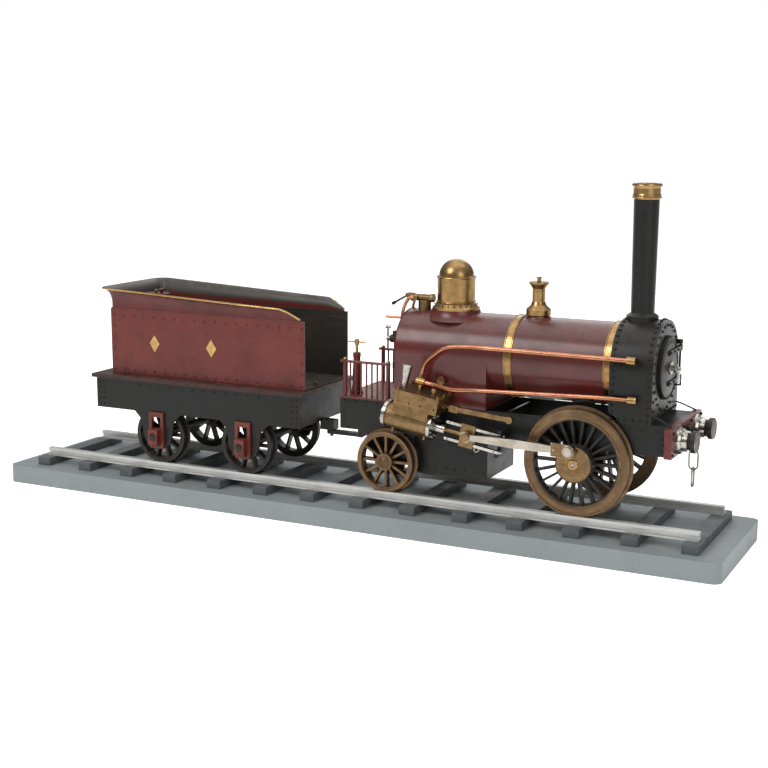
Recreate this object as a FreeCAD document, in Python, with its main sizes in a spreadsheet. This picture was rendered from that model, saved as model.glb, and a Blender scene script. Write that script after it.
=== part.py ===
import FreeCAD, Part
import math
import os
import re

import Sketcher
from FreeCAD import Placement, Rotation, Vector

# Live steam engine and tender, five inch gauge, standing on a length of display track.
# Frame: +X along the track towards the smokebox, +Y to the engine's left, +Z up.
# The origin is the middle of the plinth's underside. All sizes are millimetres and degrees.

doc = FreeCAD.newDocument("LiveSteamEngine")
sheet = doc.addObject("Spreadsheet::Sheet", "Sizes")

SIZES = {
    # display track
    "plinth_length": 1114, "plinth_width": 227, "plinth_height": 27, "plinth_corner": 12,
    "sleeper_count": 14, "sleeper_length": 185, "sleeper_width": 22, "sleeper_height": 12.4,
    "sleeper_pitch": 78.3, "sleeper_first": -505,
    "rail_length": 1031, "rail_middle": 3.5, "rail_gauge": 127, "rail_height": 11.6,
    "rail_head_width": 9, "rail_head_height": 4.2, "rail_web": 3.4,
    "rail_foot_width": 14, "rail_foot_height": 2.2,
    # fits
    "rolling_gap": 0.3, "running_fit": 0.05, "side_play": 0.4, "part_gap": 0.3,
    # wheels and axles
    "back_to_back": 118, "flange_width": 3, "flange_depth": 3.3, "wheel_width": 14,
    "driving_tread": 71.1, "driving_rim": 14.6, "driving_spokes": 22, "driving_hub": 24.5,
    "tyre_depth": 13,
    "driving_hub_face": 82, "driving_axle_x": 354, "axle_radius": 6,
    "carrying_tread": 42.2, "carrying_rim": 6.4, "carrying_spokes": 12, "carrying_hub": 12,
    "carrying_hub_face": 75, "trailing_axle_x": 78,
    "tender_front_axle_x": -146, "tender_rear_axle_x": -297, "tender_spokes": 10,
    "driving_spoke": 3.2, "carrying_spoke": 3.4, "spoke_thickness": 6, "axle_end": 84,
    # cylinders and motion
    "cylinder_y": 85, "stroke_incline": 9.3, "crank_throw": 20, "crank_angle": 100,
    "rod_length": 143, "rod_thickness": 6.4, "rod_plane": 92.5, "rod_neck": 6.4, "rod_belly": 12,
    "rod_throat": 9, "rod_big_end": 8.8, "rod_small_end": 7.5, "pin_radius": 3.6, "crank_pin_radius": 4.5,
    "cylinder_rear": 266, "cylinder_length": 64, "cylinder_radius": 17, "cylinder_bore": 13,
    "cover_radius": 19, "cover_thickness": 4.5, "cylinder_top": 24,
    "chest_height": 18, "chest_length": 63.5, "chest_inset": 12, "chest_reach": 20,
    "gland_radius": 7, "gland_length": 16.5, "piston_rod_radius": 3, "piston_length": 12,
    "bar_offset": 11.4, "bar_height": 3.6, "bar_width": 6, "bar_y": 83.4, "bar_end": 102,
    "crosshead_length": 20, "slide_fit": 0.2, "bracket_thickness": 5,
    "spindle_offset": 29.5, "spindle_radius": 2, "knuckle_distance": 176,
    "valve_rod_length": 80, "valve_rod_radius": 3.2, "valve_rod_y": 80,
    # engine frames
    "frame_outer": 56.5, "frame_thickness": 3, "frame_top": 176.5, "frame_bottom": 139,
    "frame_rear_bottom": 131, "frame_rear_x": 0, "horn_half": 24, "horn_drop": 20,
    "bearing_radius": 11,
    "beam_x": 470, "beam_thickness": 10, "beam_half": 74.6, "beam_bottom": 141,
    "buffer_y": 45, "buffer_z": 160.5, "buffer_flange": 17.5, "buffer_stock": 13.5,
    "buffer_head": 14.5, "buffer_flange_length": 7, "buffer_stock_length": 7,
    "buffer_head_length": 8, "buffer_travel": 3, "buffer_plunger": 11,
    "hook_z": 163, "hook_length": 10, "link_wire": 1.2, "link_width": 14, "link_length": 28,
    "platform_thickness": 2.5, "footplate_front_x": 83, "footplate_rear_x": 2,
    "footplate_half": 64, "rail_post": 3, "railing_height": 52, "railing_front_x": 80,
    "baluster_radius": 1.3, "railing_bar": 1.9, "baluster_count": 7,
    "brake_x": 16, "brake_y": 36, "brake_column_height": 58, "brake_handle_length": 27,
    # boiler
    "boiler_z": 245, "boiler_radius": 55, "boiler_rear_x": 84, "firebox_front_x": 220,
    "boiler_wall": 2.5, "firehole_radius": 14, "firehole_z": 215,
    "band_thickness": 1.2, "band_width": 11, "band_middle_x": 244,
    "smokebox_rear_x": 392, "smokebox_radius": 62, "smokebox_length": 54,
    "smokebox_wall": 2.5, "front_thickness": 3, "door_radius": 42, "door_dish": 6,
    "door_opening": 37, "dart_length": 18, "wheel_clearance": 5,
    "chimney_x": 415, "chimney_foot": 15.3, "chimney_top": 16.3, "chimney_base": 21,
    "chimney_bore": 12.5, "chimney_base_z": 309, "chimney_top_z": 461,
    "cap_radius": 18.6, "cap_height": 20,
    "dome_x": 151.7, "dome_flange": 33, "dome_radius": 26, "dome_ball": 24,
    "dome_base_z": 303, "dome_step_z": 311, "dome_joint_z": 348.4, "dome_wall": 1.6,
    "valve_x": 272, "valve_base": 16.8, "valve_waist": 8.6, "valve_lip": 13.2,
    "valve_top_z": 347, "valve_knob": 2.6, "valve_knob_z": 353.6,
    "turret_x": 104, "turret_radius": 9, "turret_top_z": 313, "turret_arm": 11,
    "turret_lever_length": 27, "blower_y": 22,
    "pipe_y": 68.5, "steam_pipe_radius": 3.2, "steam_pipe_z": 262, "feed_pipe_radius": 3,
    "feed_pipe_z": 208, "union_radius": 5.4, "union_length": 11, "pipe_union_x": 417, "steam_boss_x": -235,
    "elbow_x": -228, "elbow_y": 84, "elbow_rise": 13, "check_valve_x": 158, "check_valve_z": 213,
    "cup_bottom": 4.2, "cup_top": 6.6, "cup_height": 26, "cup_x": 105, "cup_y": 88,
    "ash_pan_rear_x": 112, "ash_pan_front_x": 222, "ash_pan_half": 49, "ash_pan_bottom": 79,
    # tender
    "tender_frame_outer": 80, "tender_frame_thickness": 3, "tender_frame_bottom": 128,
    "tender_rear_x": -407, "tender_front_x": -53, "tender_deck_z": 173.5,
    "deck_thickness": 5.5, "deck_overhang": 8, "deck_half": 82,
    "lobe_half": 25, "lobe_bottom": 79, "horn_slot": 8, "horn_slot_top": 122,
    "guide_half": 12.5, "guide_thickness": 4, "guide_top": 129, "guide_bottom": 75,
    "box_height": 22, "box_length": 10,
    "tank_rear_x": -387, "tank_front_x": -52, "tank_half": 66, "tank_top": 279,
    "tank_wall": 2.5, "water_front_x": -250, "coping_height": 30, "coping_front_height": 17,
    "coping_flare": 15, "coping_wall": 1.8, "coping_corner": 6, "coping_start_x": -58,
    "filler_x": -350, "filler_radius": 19, "filler_height": 13, "lid_thickness": 4,
    "drawbar_z": 110, "drawbar_width": 12, "drawbar_thickness": 5, "drawbar_rear_x": -44,
    "drawbar_pin": 2.5, "tender_buffer": 9,
}

# Places that follow from the sizes.
DERIVED = {
    "sleeper_top": "plinth_height + sleeper_height",
    "rail_top": "sleeper_top + rail_height",
    "rail_y": "rail_gauge/2 + rail_head_width/2",
    "driving_z": "rail_top + rolling_gap + driving_tread",
    "carrying_z": "rail_top + rolling_gap + carrying_tread",
    "wheel_back": "back_to_back/2",
    "wheel_face": "wheel_back + wheel_width",
    "frame_inner": "frame_outer - frame_thickness",
    "bore_radius": "axle_radius + running_fit",
    "beam_front_x": "beam_x + beam_thickness",
    "stock_front_x": "beam_front_x + buffer_flange_length + buffer_stock_length",
    "head_rear_x": "stock_front_x + buffer_travel + part_gap",
    "head_front_x": "head_rear_x + buffer_head_length",
    "rod_inner": "rod_plane - rod_thickness/2",
    "rod_outer": "rod_plane + rod_thickness/2",
    "cylinder_front": "cylinder_rear - cylinder_length",
    "chest_rear": "cylinder_rear - chest_inset",
    "chest_front": "chest_rear - chest_length",
    "chest_top": "cylinder_top + chest_height",
    "chest_outer": "cylinder_y + chest_reach",
    "chest_inner": "frame_outer + 3.5",
    "gland_end": "cylinder_front - cover_thickness - gland_length",
    "smokebox_front_x": "smokebox_rear_x + smokebox_length",
    "front_face_x": "smokebox_front_x + front_thickness",
    "door_front_x": "front_face_x + part_gap + door_dish",
    "plate_top": "frame_top + platform_thickness",
    "tank_floor": "tender_deck_z + deck_thickness",
    "tender_frame_inner": "tender_frame_outer - tender_frame_thickness",
    "guide_face": "tender_frame_outer + guide_thickness",
    "link_reach": "link_length - 2*link_wire",
}

for row, (alias, value) in enumerate(SIZES.items(), start=1):
    sheet.set(f"A{row}", alias)
    sheet.set(f"B{row}", str(value))
    sheet.setAlias(f"B{row}", alias)
doc.recompute()

WORD = re.compile(r"[a-z][a-z_]*")
PARTS = []


def sized(text):
    """Writes an expression in the sheet's own names, with the derived places spelled out."""
    def swap(found):
        word = found.group(0)
        if word in SIZES:
            return f"Sizes.{word}"
        return f"({sized(DERIVED[word])})" if word in DERIVED else word
    return WORD.sub(swap, str(text))


def size(text):
    """Gives the number that an expression comes to."""
    found = sheet.evalExpression(sized(text).replace("Sizes.", "")) if str(text) else 0
    return float(getattr(found, "Value", found))


def bind(item, prop, text):
    """Ties one property of an object to the sheet."""
    item.setExpression(prop, sized(text))


def place(item, x="0", y="0", z="0", axis=(0, 0, 1), angle="0"):
    """Puts an object at a place that follows the sheet, turned about one axis."""
    item.Placement = Placement(Vector(), Rotation(Vector(*axis), size(angle)))
    for name, text in (("x", x), ("y", y), ("z", z)):
        bind(item, f"Placement.Base.{name}", text)
    if str(angle) != "0":
        bind(item, "Placement.Rotation.Angle", angle)
    return item


def keep(item, label):
    """Marks an object as a finished sub-part under its own name."""
    item.Label = label
    PARTS.append(item)
    return item


def box(x0, x1, y0, y1, z0, z1):
    """A block between six places."""
    item = doc.addObject("Part::Box", "Block")
    bind(item, "Length", f"({x1}) - ({x0})")
    bind(item, "Width", f"({y1}) - ({y0})")
    bind(item, "Height", f"({z1}) - ({z0})")
    return place(item, x0, y0, z0)


ALONG = {"z": ((0, 0, 1), "0"), "x": ((0, 1, 0), "90"), "y": ((1, 0, 0), "-90"), "-y": ((1, 0, 0), "90"),
         "-x": ((0, 1, 0), "-90"), "-z": ((1, 0, 0), "180")}


def rod(radius, length, x, y, z, along="z"):
    """A round bar that starts at a place and runs along one direction."""
    item = doc.addObject("Part::Cylinder", "Bar")
    bind(item, "Radius", radius)
    bind(item, "Height", length)
    return place(item, x, y, z, *ALONG[along])


def cone(radius_low, radius_high, length, x, y, z, along="z"):
    """A tapered round bar."""
    item = doc.addObject("Part::Cone", "Taper")
    bind(item, "Radius1", radius_low)
    bind(item, "Radius2", radius_high)
    bind(item, "Height", length)
    return place(item, x, y, z, *ALONG[along])


def fuse(*items):
    """Joins solids into one."""
    item = doc.addObject("Part::MultiFuse", "Joined")
    item.Shapes = list(items)
    return item


def cut(base, *tools):
    """Takes one or more solids away from another."""
    item = doc.addObject("Part::Cut", "Cut")
    item.Base = base
    item.Tool = tools[0] if len(tools) == 1 else fuse(*tools)
    return item


def group(*items):
    """Several alike pieces that share one node."""
    item = doc.addObject("Part::Compound", "Group")
    item.Links = list(items)
    return item


def tilt(item):
    """Turns a piece drawn level behind the driving axle onto the inclined stroke line."""
    if item.TypeId in ("Part::Box", "Part::Cylinder", "Part::Cone"):
        item = group(item)
    return place(item, "driving_axle_x", "0", "driving_z", (0, 1, 0), "stroke_incline")


def tilted_x(along, up):
    """The level X of a place given along and above the inclined stroke line."""
    return f"driving_axle_x + ({along})*cos(stroke_incline) + ({up})*sin(stroke_incline)"


def tilted_z(along, up):
    """The level Z of a place given along and above the inclined stroke line."""
    return f"driving_z - ({along})*sin(stroke_incline) + ({up})*cos(stroke_incline)"


def plane_of(body, role):
    """Finds one of a body's own origin planes."""
    return [item for item in body.Origin.OriginFeatures if item.Role == role][0]


def new_body(role):
    """A body with one sketch laid on one of its own planes."""
    body = doc.addObject("PartDesign::Body", "Body")
    sketch = body.newObject("Sketcher::SketchObject", "Sketch")
    sketch.AttachmentSupport = (plane_of(body, role), [""])
    sketch.MapMode = "FlatFace"
    return body, sketch


def pin_point(sketch, edge, end, across, up):
    """Fixes one sketch point by two distances from the origin, tied to the sheet."""
    for kind, text, axis in (("DistanceX", across, -2), ("DistanceY", up, -1)):
        amount = size(text)
        if abs(amount) < 1e-9:
            sketch.addConstraint(Sketcher.Constraint("PointOnObject", edge, end, axis))
            continue
        if amount > 0:
            number = sketch.addConstraint(Sketcher.Constraint(kind, -1, 1, edge, end, amount))
        else:
            number = sketch.addConstraint(Sketcher.Constraint(kind, edge, end, -1, 1, -amount))
        sketch.setExpression(f"Constraints[{number}]", sized(text if amount > 0 else f"-({text})"))


def outline(sketch, points, ball=False):
    """Draws a closed outline through named points; ball rounds the last side about the axis."""
    count = len(points)
    flat = [Vector(size(across), size(up), 0) for across, up in points]
    for edge in range(count):
        start, end = flat[edge], flat[(edge + 1) % count]
        if ball and edge == count - 2:
            circle = Part.Circle(Vector(0, start.y, 0), Vector(0, 0, 1), start.x)
            sketch.addGeometry(Part.ArcOfCircle(circle, 0, math.pi / 2), False)
        else:
            sketch.addGeometry(Part.LineSegment(start, end), False)
    for edge in range(count):
        sketch.addConstraint(Sketcher.Constraint("Coincident", edge, 2, (edge + 1) % count, 1))
        if not (ball and edge == count - 1):
            pin_point(sketch, edge, 1, *points[edge])
    if ball:
        sketch.addConstraint(Sketcher.Constraint("PointOnObject", count - 2, 3, -2))
        sketch.addConstraint(Sketcher.Constraint("PointOnObject", count - 2, 2, -2))
        sketch.addConstraint(Sketcher.Constraint("Horizontal", count - 2, 3, count - 2, 1))


def turned(points, x, y, z, along="z", ball=False):
    """A piece turned on a lathe: its outline is pairs of radius and height."""
    body, sketch = new_body("XZ_Plane")
    outline(sketch, points, ball)
    spin = body.newObject("PartDesign::Revolution", "Turned")
    spin.Profile = sketch
    spin.ReferenceAxis = (sketch, ["V_Axis"])
    spin.Angle = 360
    return place(body, x, y, z, *ALONG[along])


def plate(points, thickness, y):
    """A flat plate cut to an outline in X and Z, its inner face at y, its thickness towards +Y."""
    body, sketch = new_body("XZ_Plane")
    outline(sketch, points)
    pad = body.newObject("PartDesign::Pad", "Plate")
    pad.Profile = sketch
    bind(pad, "Length", thickness)
    pad.Reversed = True
    return place(body, "0", y, "0")


def spoked(tread, rim, spokes, hub, hub_face, spoke, rim_width="wheel_width"):
    """A wheel centre about +Z, its back at 0: hub, spokes and rim in one casting."""
    body, sketch = new_body("XZ_Plane")
    depth = f"{hub_face} - wheel_back"
    outline(sketch, [("bore_radius - running_fit", "0"), (hub, "0"), (hub, depth),
                     ("bore_radius - running_fit", depth)])
    turn = body.newObject("PartDesign::Revolution", "Hub")
    turn.Profile = sketch
    turn.ReferenceAxis = (sketch, ["V_Axis"])
    turn.Angle = 360
    arm = body.newObject("Sketcher::SketchObject", "Spoke")
    arm.AttachmentSupport = (plane_of(body, "XY_Plane"), [""])
    arm.MapMode = "FlatFace"
    inner, outer = f"{hub} - 1", f"{tread} - ({rim}) + 0.5"
    outline(arm, [(inner, f"-({spoke})/2"), (outer, f"-({spoke})/2"),
                  (outer, f"({spoke})/2"), (inner, f"({spoke})/2")])
    pad = body.newObject("PartDesign::Pad", "SpokePad")
    pad.Profile = arm
    bind(pad, "Length", f"({rim_width})/2 + spoke_thickness/2")
    star = body.newObject("PartDesign::PolarPattern", "Spokes")
    star.Originals = [pad]
    star.Axis = (arm, ["N_Axis"])
    star.Angle = 360
    bind(star, "Occurrences", spokes)
    body.Tip = star
    ring = body.newObject("Sketcher::SketchObject", "Rim")
    ring.AttachmentSupport = (plane_of(body, "XZ_Plane"), [""])
    ring.MapMode = "FlatFace"
    outline(ring, [(f"{tread} - ({rim})", "0"), (tread, "0"), (tread, rim_width),
                   (f"{tread} - ({rim})", rim_width)])
    band = body.newObject("PartDesign::Revolution", "RimTurned")
    band.Profile = ring
    band.ReferenceAxis = (ring, ["V_Axis"])
    band.Angle = 360
    body.Tip = band
    return body


def flange(tread, inner):
    """The flange ring of a wheel, about +Z with its back at 0."""
    return [(inner, "0"), (f"{tread} + flange_depth - 1.2", "0"), (f"{tread} + flange_depth", "1.2"),
            (f"{tread} + flange_depth", "flange_width - 0.8"), (tread, "flange_width"),
            (tread, "wheel_width"), (inner, "wheel_width")]


def pipe(radius, route):
    """A bent pipe: straight runs joined by arcs as large as the runs beside each corner allow."""
    points = [Vector(*[size(part) for part in point]) for point in route]
    edges, start = [], points[0]
    for before, corner, after in zip(points, points[1:], points[2:]):
        into, out = corner - before, after - corner
        turn = into.getAngle(out)
        if turn < 0.02:
            continue
        reach = 0.45 * min(into.Length, out.Length)
        first = corner - into * (reach / into.Length)
        last = corner + out * (reach / out.Length)
        bow = reach / math.tan(turn / 2)
        inward = (last - corner) + (first - corner)
        centre_away = bow / math.cos(turn / 2)
        nearest = corner + inward * ((centre_away - bow) / inward.Length)
        edges.append(Part.LineSegment(start, first).toShape())
        edges.append(Part.Arc(first, nearest, last).toShape())
        start = last
    edges.append(Part.LineSegment(start, points[-1]).toShape())
    path = Part.Wire(edges)
    circle = Part.Circle(points[0], points[1] - points[0], size(radius))
    item = doc.addObject("Part::Feature", "Pipe")
    item.Shape = path.makePipeShell([Part.Wire([circle.toShape()])], True, True)
    item.Placement = Placement()
    return item


def by_y(points):
    """Mirrors a route to the other side of the engine."""
    return [(x, f"-({y})", z) for x, y, z in points]


def mid(low, high, share):
    """A place part of the way between two places."""
    return f"({low}) + (({high}) - ({low}))*{share}"


SIDES = (("right", "-1"), ("left", "1"))


def across(side, inner, outer):
    """The low and high Y of a piece that lies between two distances from the middle."""
    return (f"-({outer})", f"-({inner})") if side == "-1" else (inner, outer)


def outward(side):
    """The direction away from the middle on one side."""
    return "-y" if side == "-1" else "y"


# ---------------------------------------------------------------- display track

plinth_block = box("-plinth_length/2", "plinth_length/2", "-plinth_width/2", "plinth_width/2",
                   "0", "plinth_height")
doc.recompute()
plinth = doc.addObject("Part::Fillet", "RoundedPlinth")
plinth.Base = plinth_block
upright = [number for number, edge in enumerate(plinth_block.Shape.Edges, start=1)
           if abs(edge.tangentAt(edge.FirstParameter).z) > 0.9]
plinth.Edges = [(number, size("plinth_corner"), size("plinth_corner")) for number in upright]
keep(plinth, "plinth")

keep(group(*[box(f"sleeper_first + {number}*sleeper_pitch - sleeper_width/2",
                 f"sleeper_first + {number}*sleeper_pitch + sleeper_width/2",
                 "-sleeper_length/2", "sleeper_length/2", "plinth_height", "sleeper_top")
             for number in range(int(size("sleeper_count")))]), "sleepers")

rails = []
for name, side in SIDES:
    middle = f"{side}*rail_y"
    ends = ("rail_middle - rail_length/2", "rail_middle + rail_length/2")
    rails.append(fuse(
        box(*ends, f"{middle} - rail_foot_width/2", f"{middle} + rail_foot_width/2",
            "sleeper_top", "sleeper_top + rail_foot_height"),
        box(*ends, f"{middle} - rail_web/2", f"{middle} + rail_web/2", "sleeper_top", "rail_top"),
        box(*ends, f"{middle} - rail_head_width/2", f"{middle} + rail_head_width/2",
            "rail_top - rail_head_height", "rail_top")))
keep(group(*rails), "rails")

# ---------------------------------------------------------------- engine frames

horn_low_driving = "driving_z - horn_drop"
horn_low_trailing = "carrying_z - horn_drop"
frame_points = [
    ("frame_rear_x", "frame_top"), ("beam_x", "frame_top"), ("beam_x", "frame_bottom"),
    ("driving_axle_x + horn_half + 14", "frame_bottom"), ("driving_axle_x + horn_half", horn_low_driving),
    ("driving_axle_x - horn_half", horn_low_driving), ("driving_axle_x - horn_half - 14", "frame_bottom"),
    ("trailing_axle_x + horn_half + 14", "frame_rear_bottom"), ("trailing_axle_x + horn_half - 6", horn_low_trailing),
    ("trailing_axle_x - horn_half + 6", horn_low_trailing), ("trailing_axle_x - horn_half - 14", "frame_rear_bottom"),
    ("frame_rear_x", "frame_rear_bottom")]
AXLES = (("driving_axle_x", "driving_z"), ("trailing_axle_x", "carrying_z"))
frames, bearings = [], []
for name, side in SIDES:
    low, high = across(side, "frame_inner", "frame_outer")
    holes = [rod("bearing_radius", "frame_thickness + 2", x, f"{low} - 1", z, "y") for x, z in AXLES]
    frames.append(cut(plate(frame_points, "frame_thickness", low), *holes))
    for x, z in AXLES:
        ring = rod("bearing_radius", "frame_thickness", x, low, z, "y")
        bearings.append(cut(ring, rod("bore_radius", "frame_thickness + 2", x, f"{low} - 1", z, "y")))
stretchers = [box(f"{x} - 2", f"{x} + 2", "-frame_inner", "frame_inner", "frame_bottom + 4", "frame_top - 4")
              for x in ("frame_rear_x + 6", "ash_pan_front_x + 22", "beam_x - 40")]
keep(group(*frames, *stretchers), "main_frames")
keep(group(*bearings), "axle_bearings")

keep(box("beam_x", "beam_front_x", "-beam_half", "beam_half", "beam_bottom", "plate_top"), "buffer_beam")

stocks = []
for name, side in SIDES:
    stocks.append(turned([
        ("buffer_plunger + running_fit", "0"), ("buffer_flange", "0"),
        ("buffer_flange", "buffer_flange_length*0.55"),
        ("buffer_flange - 1.6", "buffer_flange_length"), ("buffer_stock", "buffer_flange_length"),
        ("buffer_stock", "buffer_flange_length + buffer_stock_length"),
        ("buffer_plunger + running_fit", "buffer_flange_length + buffer_stock_length")],
        "beam_front_x", f"{side}*buffer_y", "buffer_z", "x"))
    keep(turned([
        ("0", "buffer_travel + 1"), ("buffer_plunger", "buffer_travel + 1"),
        ("buffer_plunger", "head_rear_x - beam_front_x"),
        ("buffer_head - 1.5", "head_rear_x - beam_front_x"),
        ("buffer_head", "head_rear_x - beam_front_x + 1.5"),
        ("buffer_head", "head_front_x - beam_front_x - 1.5"),
        ("buffer_head - 1.5", "head_front_x - beam_front_x"),
        ("0", "head_front_x - beam_front_x")],
        "beam_front_x", f"{side}*buffer_y", "buffer_z", "x"), f"{name}_buffer_head")
keep(group(*stocks), "buffer_stocks")

# The coupling hook is a plate with an eye, and the links hang from the eye one through another.
hook_eye = "link_wire + 1.6"
hook = cut(fuse(box("beam_front_x", "beam_front_x + 4", "-9", "9", "hook_z - 9", "hook_z + 9"),
                box("beam_front_x", "beam_front_x + hook_length", "-2", "2", "hook_z - 4", "hook_z + 4"),
                rod("6.2", "4", "beam_front_x + hook_length", "-2", "hook_z", "y")),
           rod(hook_eye, "6", "beam_front_x + hook_length", "-3", "hook_z", "y"))
keep(hook, "coupling_hook")


def link(top_z, flat_to):
    """An oval link of round wire whose upper bow is centred just under top_z."""
    half = size("link_width/2 - link_wire")
    drop = size("link_reach") - 2 * half
    x, z = size("beam_front_x + hook_length"), size(top_z) - half
    side = Vector(1, 0, 0) if flat_to == "x" else Vector(0, 1, 0)
    top, low = Vector(x, 0, z), Vector(x, 0, z - drop)
    up = Vector(0, 0, 1)
    edges = [Part.Arc(top - side * half, top + up * half, top + side * half).toShape(),
             Part.LineSegment(top + side * half, low + side * half).toShape(),
             Part.Arc(low + side * half, low - up * half, low - side * half).toShape(),
             Part.LineSegment(low - side * half, top - side * half).toShape()]
    circle = Part.Circle(top + side * half, up, size("link_wire"))
    item = doc.addObject("Part::Feature", "Link")
    item.Shape = Part.Wire(edges[1:] + edges[:1]).makePipeShell([Part.Wire([circle.toShape()])], True, False)
    item.Placement = Placement()
    return item


upper_top = f"hook_z - ({hook_eye}) + link_wire + 0.7"
middle_top = f"({upper_top}) - link_reach + 2*link_wire + 0.4"
lower_top = f"({middle_top}) - link_reach + 2*link_wire + 0.4"
keep(link(upper_top, "y"), "coupling_link_upper")
keep(link(middle_top, "x"), "coupling_link_middle")
keep(link(lower_top, "y"), "coupling_link_lower")

# ---------------------------------------------------------------- boiler

boiler_length = "smokebox_rear_x - boiler_rear_x"
outer_shell = fuse(
    rod("boiler_radius", boiler_length, "boiler_rear_x", "0", "boiler_z", "x"),
    box("boiler_rear_x", "firebox_front_x", "-boiler_radius", "boiler_radius", "frame_top", "boiler_z"),
    rod("dome_flange - 2", "dome_base_z - boiler_z", "dome_x", "0", "boiler_z"))
inner_radius = "boiler_radius - boiler_wall"
inner_shell = fuse(
    rod(inner_radius, f"{boiler_length} - 2*boiler_wall", "boiler_rear_x + boiler_wall", "0", "boiler_z", "x"),
    box("boiler_rear_x + boiler_wall", "firebox_front_x - boiler_wall", f"-({inner_radius})", inner_radius,
        "frame_top + boiler_wall", "boiler_z"),
    rod("firehole_radius", "boiler_wall + 2", "boiler_rear_x - 1", "0", "firehole_z", "x"))
keep(cut(outer_shell, inner_shell), "boiler_shell")

bands = []
for band_x in ("band_middle_x", "smokebox_rear_x - band_width"):
    bands.append(cut(rod("boiler_radius + band_thickness", "band_width", band_x, "0", "boiler_z", "x"),
                     rod("boiler_radius", "band_width + 2", f"{band_x} - 1", "0", "boiler_z", "x")))
keep(group(*bands), "boiler_bands")

smokebox_outer = fuse(
    rod("smokebox_radius", "smokebox_length", "smokebox_rear_x", "0", "boiler_z", "x"),
    box("smokebox_rear_x", "smokebox_front_x", "-smokebox_radius", "smokebox_radius", "plate_top", "boiler_z"))
smokebox_inner_radius = "smokebox_radius - smokebox_wall"
smokebox_inner = fuse(
    rod(smokebox_inner_radius, "smokebox_length - smokebox_wall", "smokebox_rear_x + smokebox_wall",
        "0", "boiler_z", "x"),
    box("smokebox_rear_x + smokebox_wall", "smokebox_front_x", f"-({smokebox_inner_radius})",
        smokebox_inner_radius, "plate_top + smokebox_wall", "boiler_z"))
wheel_relief = [rod("driving_tread + flange_depth + wheel_clearance", "30", "driving_axle_x",
                    "frame_outer" if side == "1" else "-(frame_outer + 30)", "driving_z", "y")
                for name, side in SIDES]
chimney_hole = rod("chimney_bore", "smokebox_radius + 20", "chimney_x", "0", "boiler_z")
smokebox_shell = cut(smokebox_outer, smokebox_inner, chimney_hole, *wheel_relief)
platform = box("smokebox_rear_x", "beam_x", "-frame_outer", "frame_outer", "frame_top", "plate_top")

front_plate = fuse(
    rod("smokebox_radius", "front_thickness", "smokebox_front_x", "0", "boiler_z", "x"),
    box("smokebox_front_x", "front_face_x", "-smokebox_radius", "smokebox_radius", "plate_top", "boiler_z"))
front_ring = cut(front_plate, rod("door_opening", "front_thickness + 2", "smokebox_front_x - 1",
                                  "0", "boiler_z", "x"))

# The door hangs on the engine's left and swings about an upright pin beside its rim.
hinge_y = "door_radius + 6"
door_disc = turned([("0", "0"), ("door_radius", "0"), ("door_radius", "door_dish*0.45"),
                    ("door_radius - 10", "door_dish*0.8"), ("8", "door_dish"), ("0", "door_dish")],
                   "front_face_x + part_gap", "0", "boiler_z", "x")
straps = [box("door_front_x - door_dish*0.6", "door_front_x + 1.4", "-10", hinge_y,
              f"boiler_z + {place_z} - 3", f"boiler_z + {place_z} + 3") for place_z in (-20, 20)]
knuckles = [rod("3.2", "8", "door_front_x - 1", hinge_y, f"boiler_z + {place_z} - 4") for place_z in (-20, 20)]
pin_hole = rod("1.6", "70", "door_front_x - 1", hinge_y, "boiler_z - 35")
dart_hole = rod("3.5 + running_fit", "30", "front_face_x - 10", "0", "boiler_z", "x")
keep(cut(fuse(door_disc, *straps, *knuckles), pin_hole, dart_hole), "smokebox_door")

lugs = [fuse(box("front_face_x", "door_front_x - 1", f"{hinge_y} - 3", f"{hinge_y} + 3",
                 f"boiler_z + {place_z} - 3", f"boiler_z + {place_z} + 3"),
             rod("3.2", "6", "door_front_x - 1", hinge_y, f"boiler_z + {place_z} - 3"))
        for place_z in (-28, 28)]
hinge_pin = fuse(*lugs, rod("1.5", "62", "door_front_x - 1", hinge_y, "boiler_z - 31"))
keep(group(smokebox_shell, platform, front_ring, hinge_pin), "smokebox")

dart = fuse(turned([("0", "0"), ("3.5", "0"), ("3.5", "dart_length + 1"), ("6", "dart_length + 1"),
                    ("6", "dart_length + 4"), ("2.5", "dart_length + 5"), ("2.5", "dart_length + 10"),
                    ("0", "dart_length + 10")], "front_face_x - 8", "0", "boiler_z", "x"),
            box("front_face_x - 8 + dart_length + 5", "front_face_x - 8 + dart_length + 8",
                "-2", "2", "boiler_z - 20", "boiler_z"))
keep(dart, "door_dart")

chimney_body = turned([("chimney_bore", "0"), ("chimney_base", "0"),
                       ("chimney_base", "chimney_base_z - boiler_z - smokebox_radius + 12"),
                       ("chimney_foot", "chimney_base_z - boiler_z - smokebox_radius + 16"),
                       ("chimney_top", "chimney_top_z - boiler_z - smokebox_radius + 10"),
                       ("chimney_bore", "chimney_top_z - boiler_z - smokebox_radius + 10")],
                      "chimney_x", "0", "boiler_z + smokebox_radius - 10")
keep(cut(chimney_body, rod("smokebox_radius", "80", "chimney_x - 40", "0", "boiler_z", "x")), "chimney")
keep(turned([("chimney_bore", "0"), ("chimney_top + 0.8", "0"), ("cap_radius - 0.6", "2.5"),
             ("cap_radius - 0.6", "5"), ("chimney_top + 0.9", "7"), ("chimney_top + 0.9", "cap_height - 6"),
             ("cap_radius", "cap_height - 2"), ("cap_radius", "cap_height"),
             ("chimney_bore + 1.5", "cap_height")],
            "chimney_x", "0", "chimney_top_z"), "chimney_cap")

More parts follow.
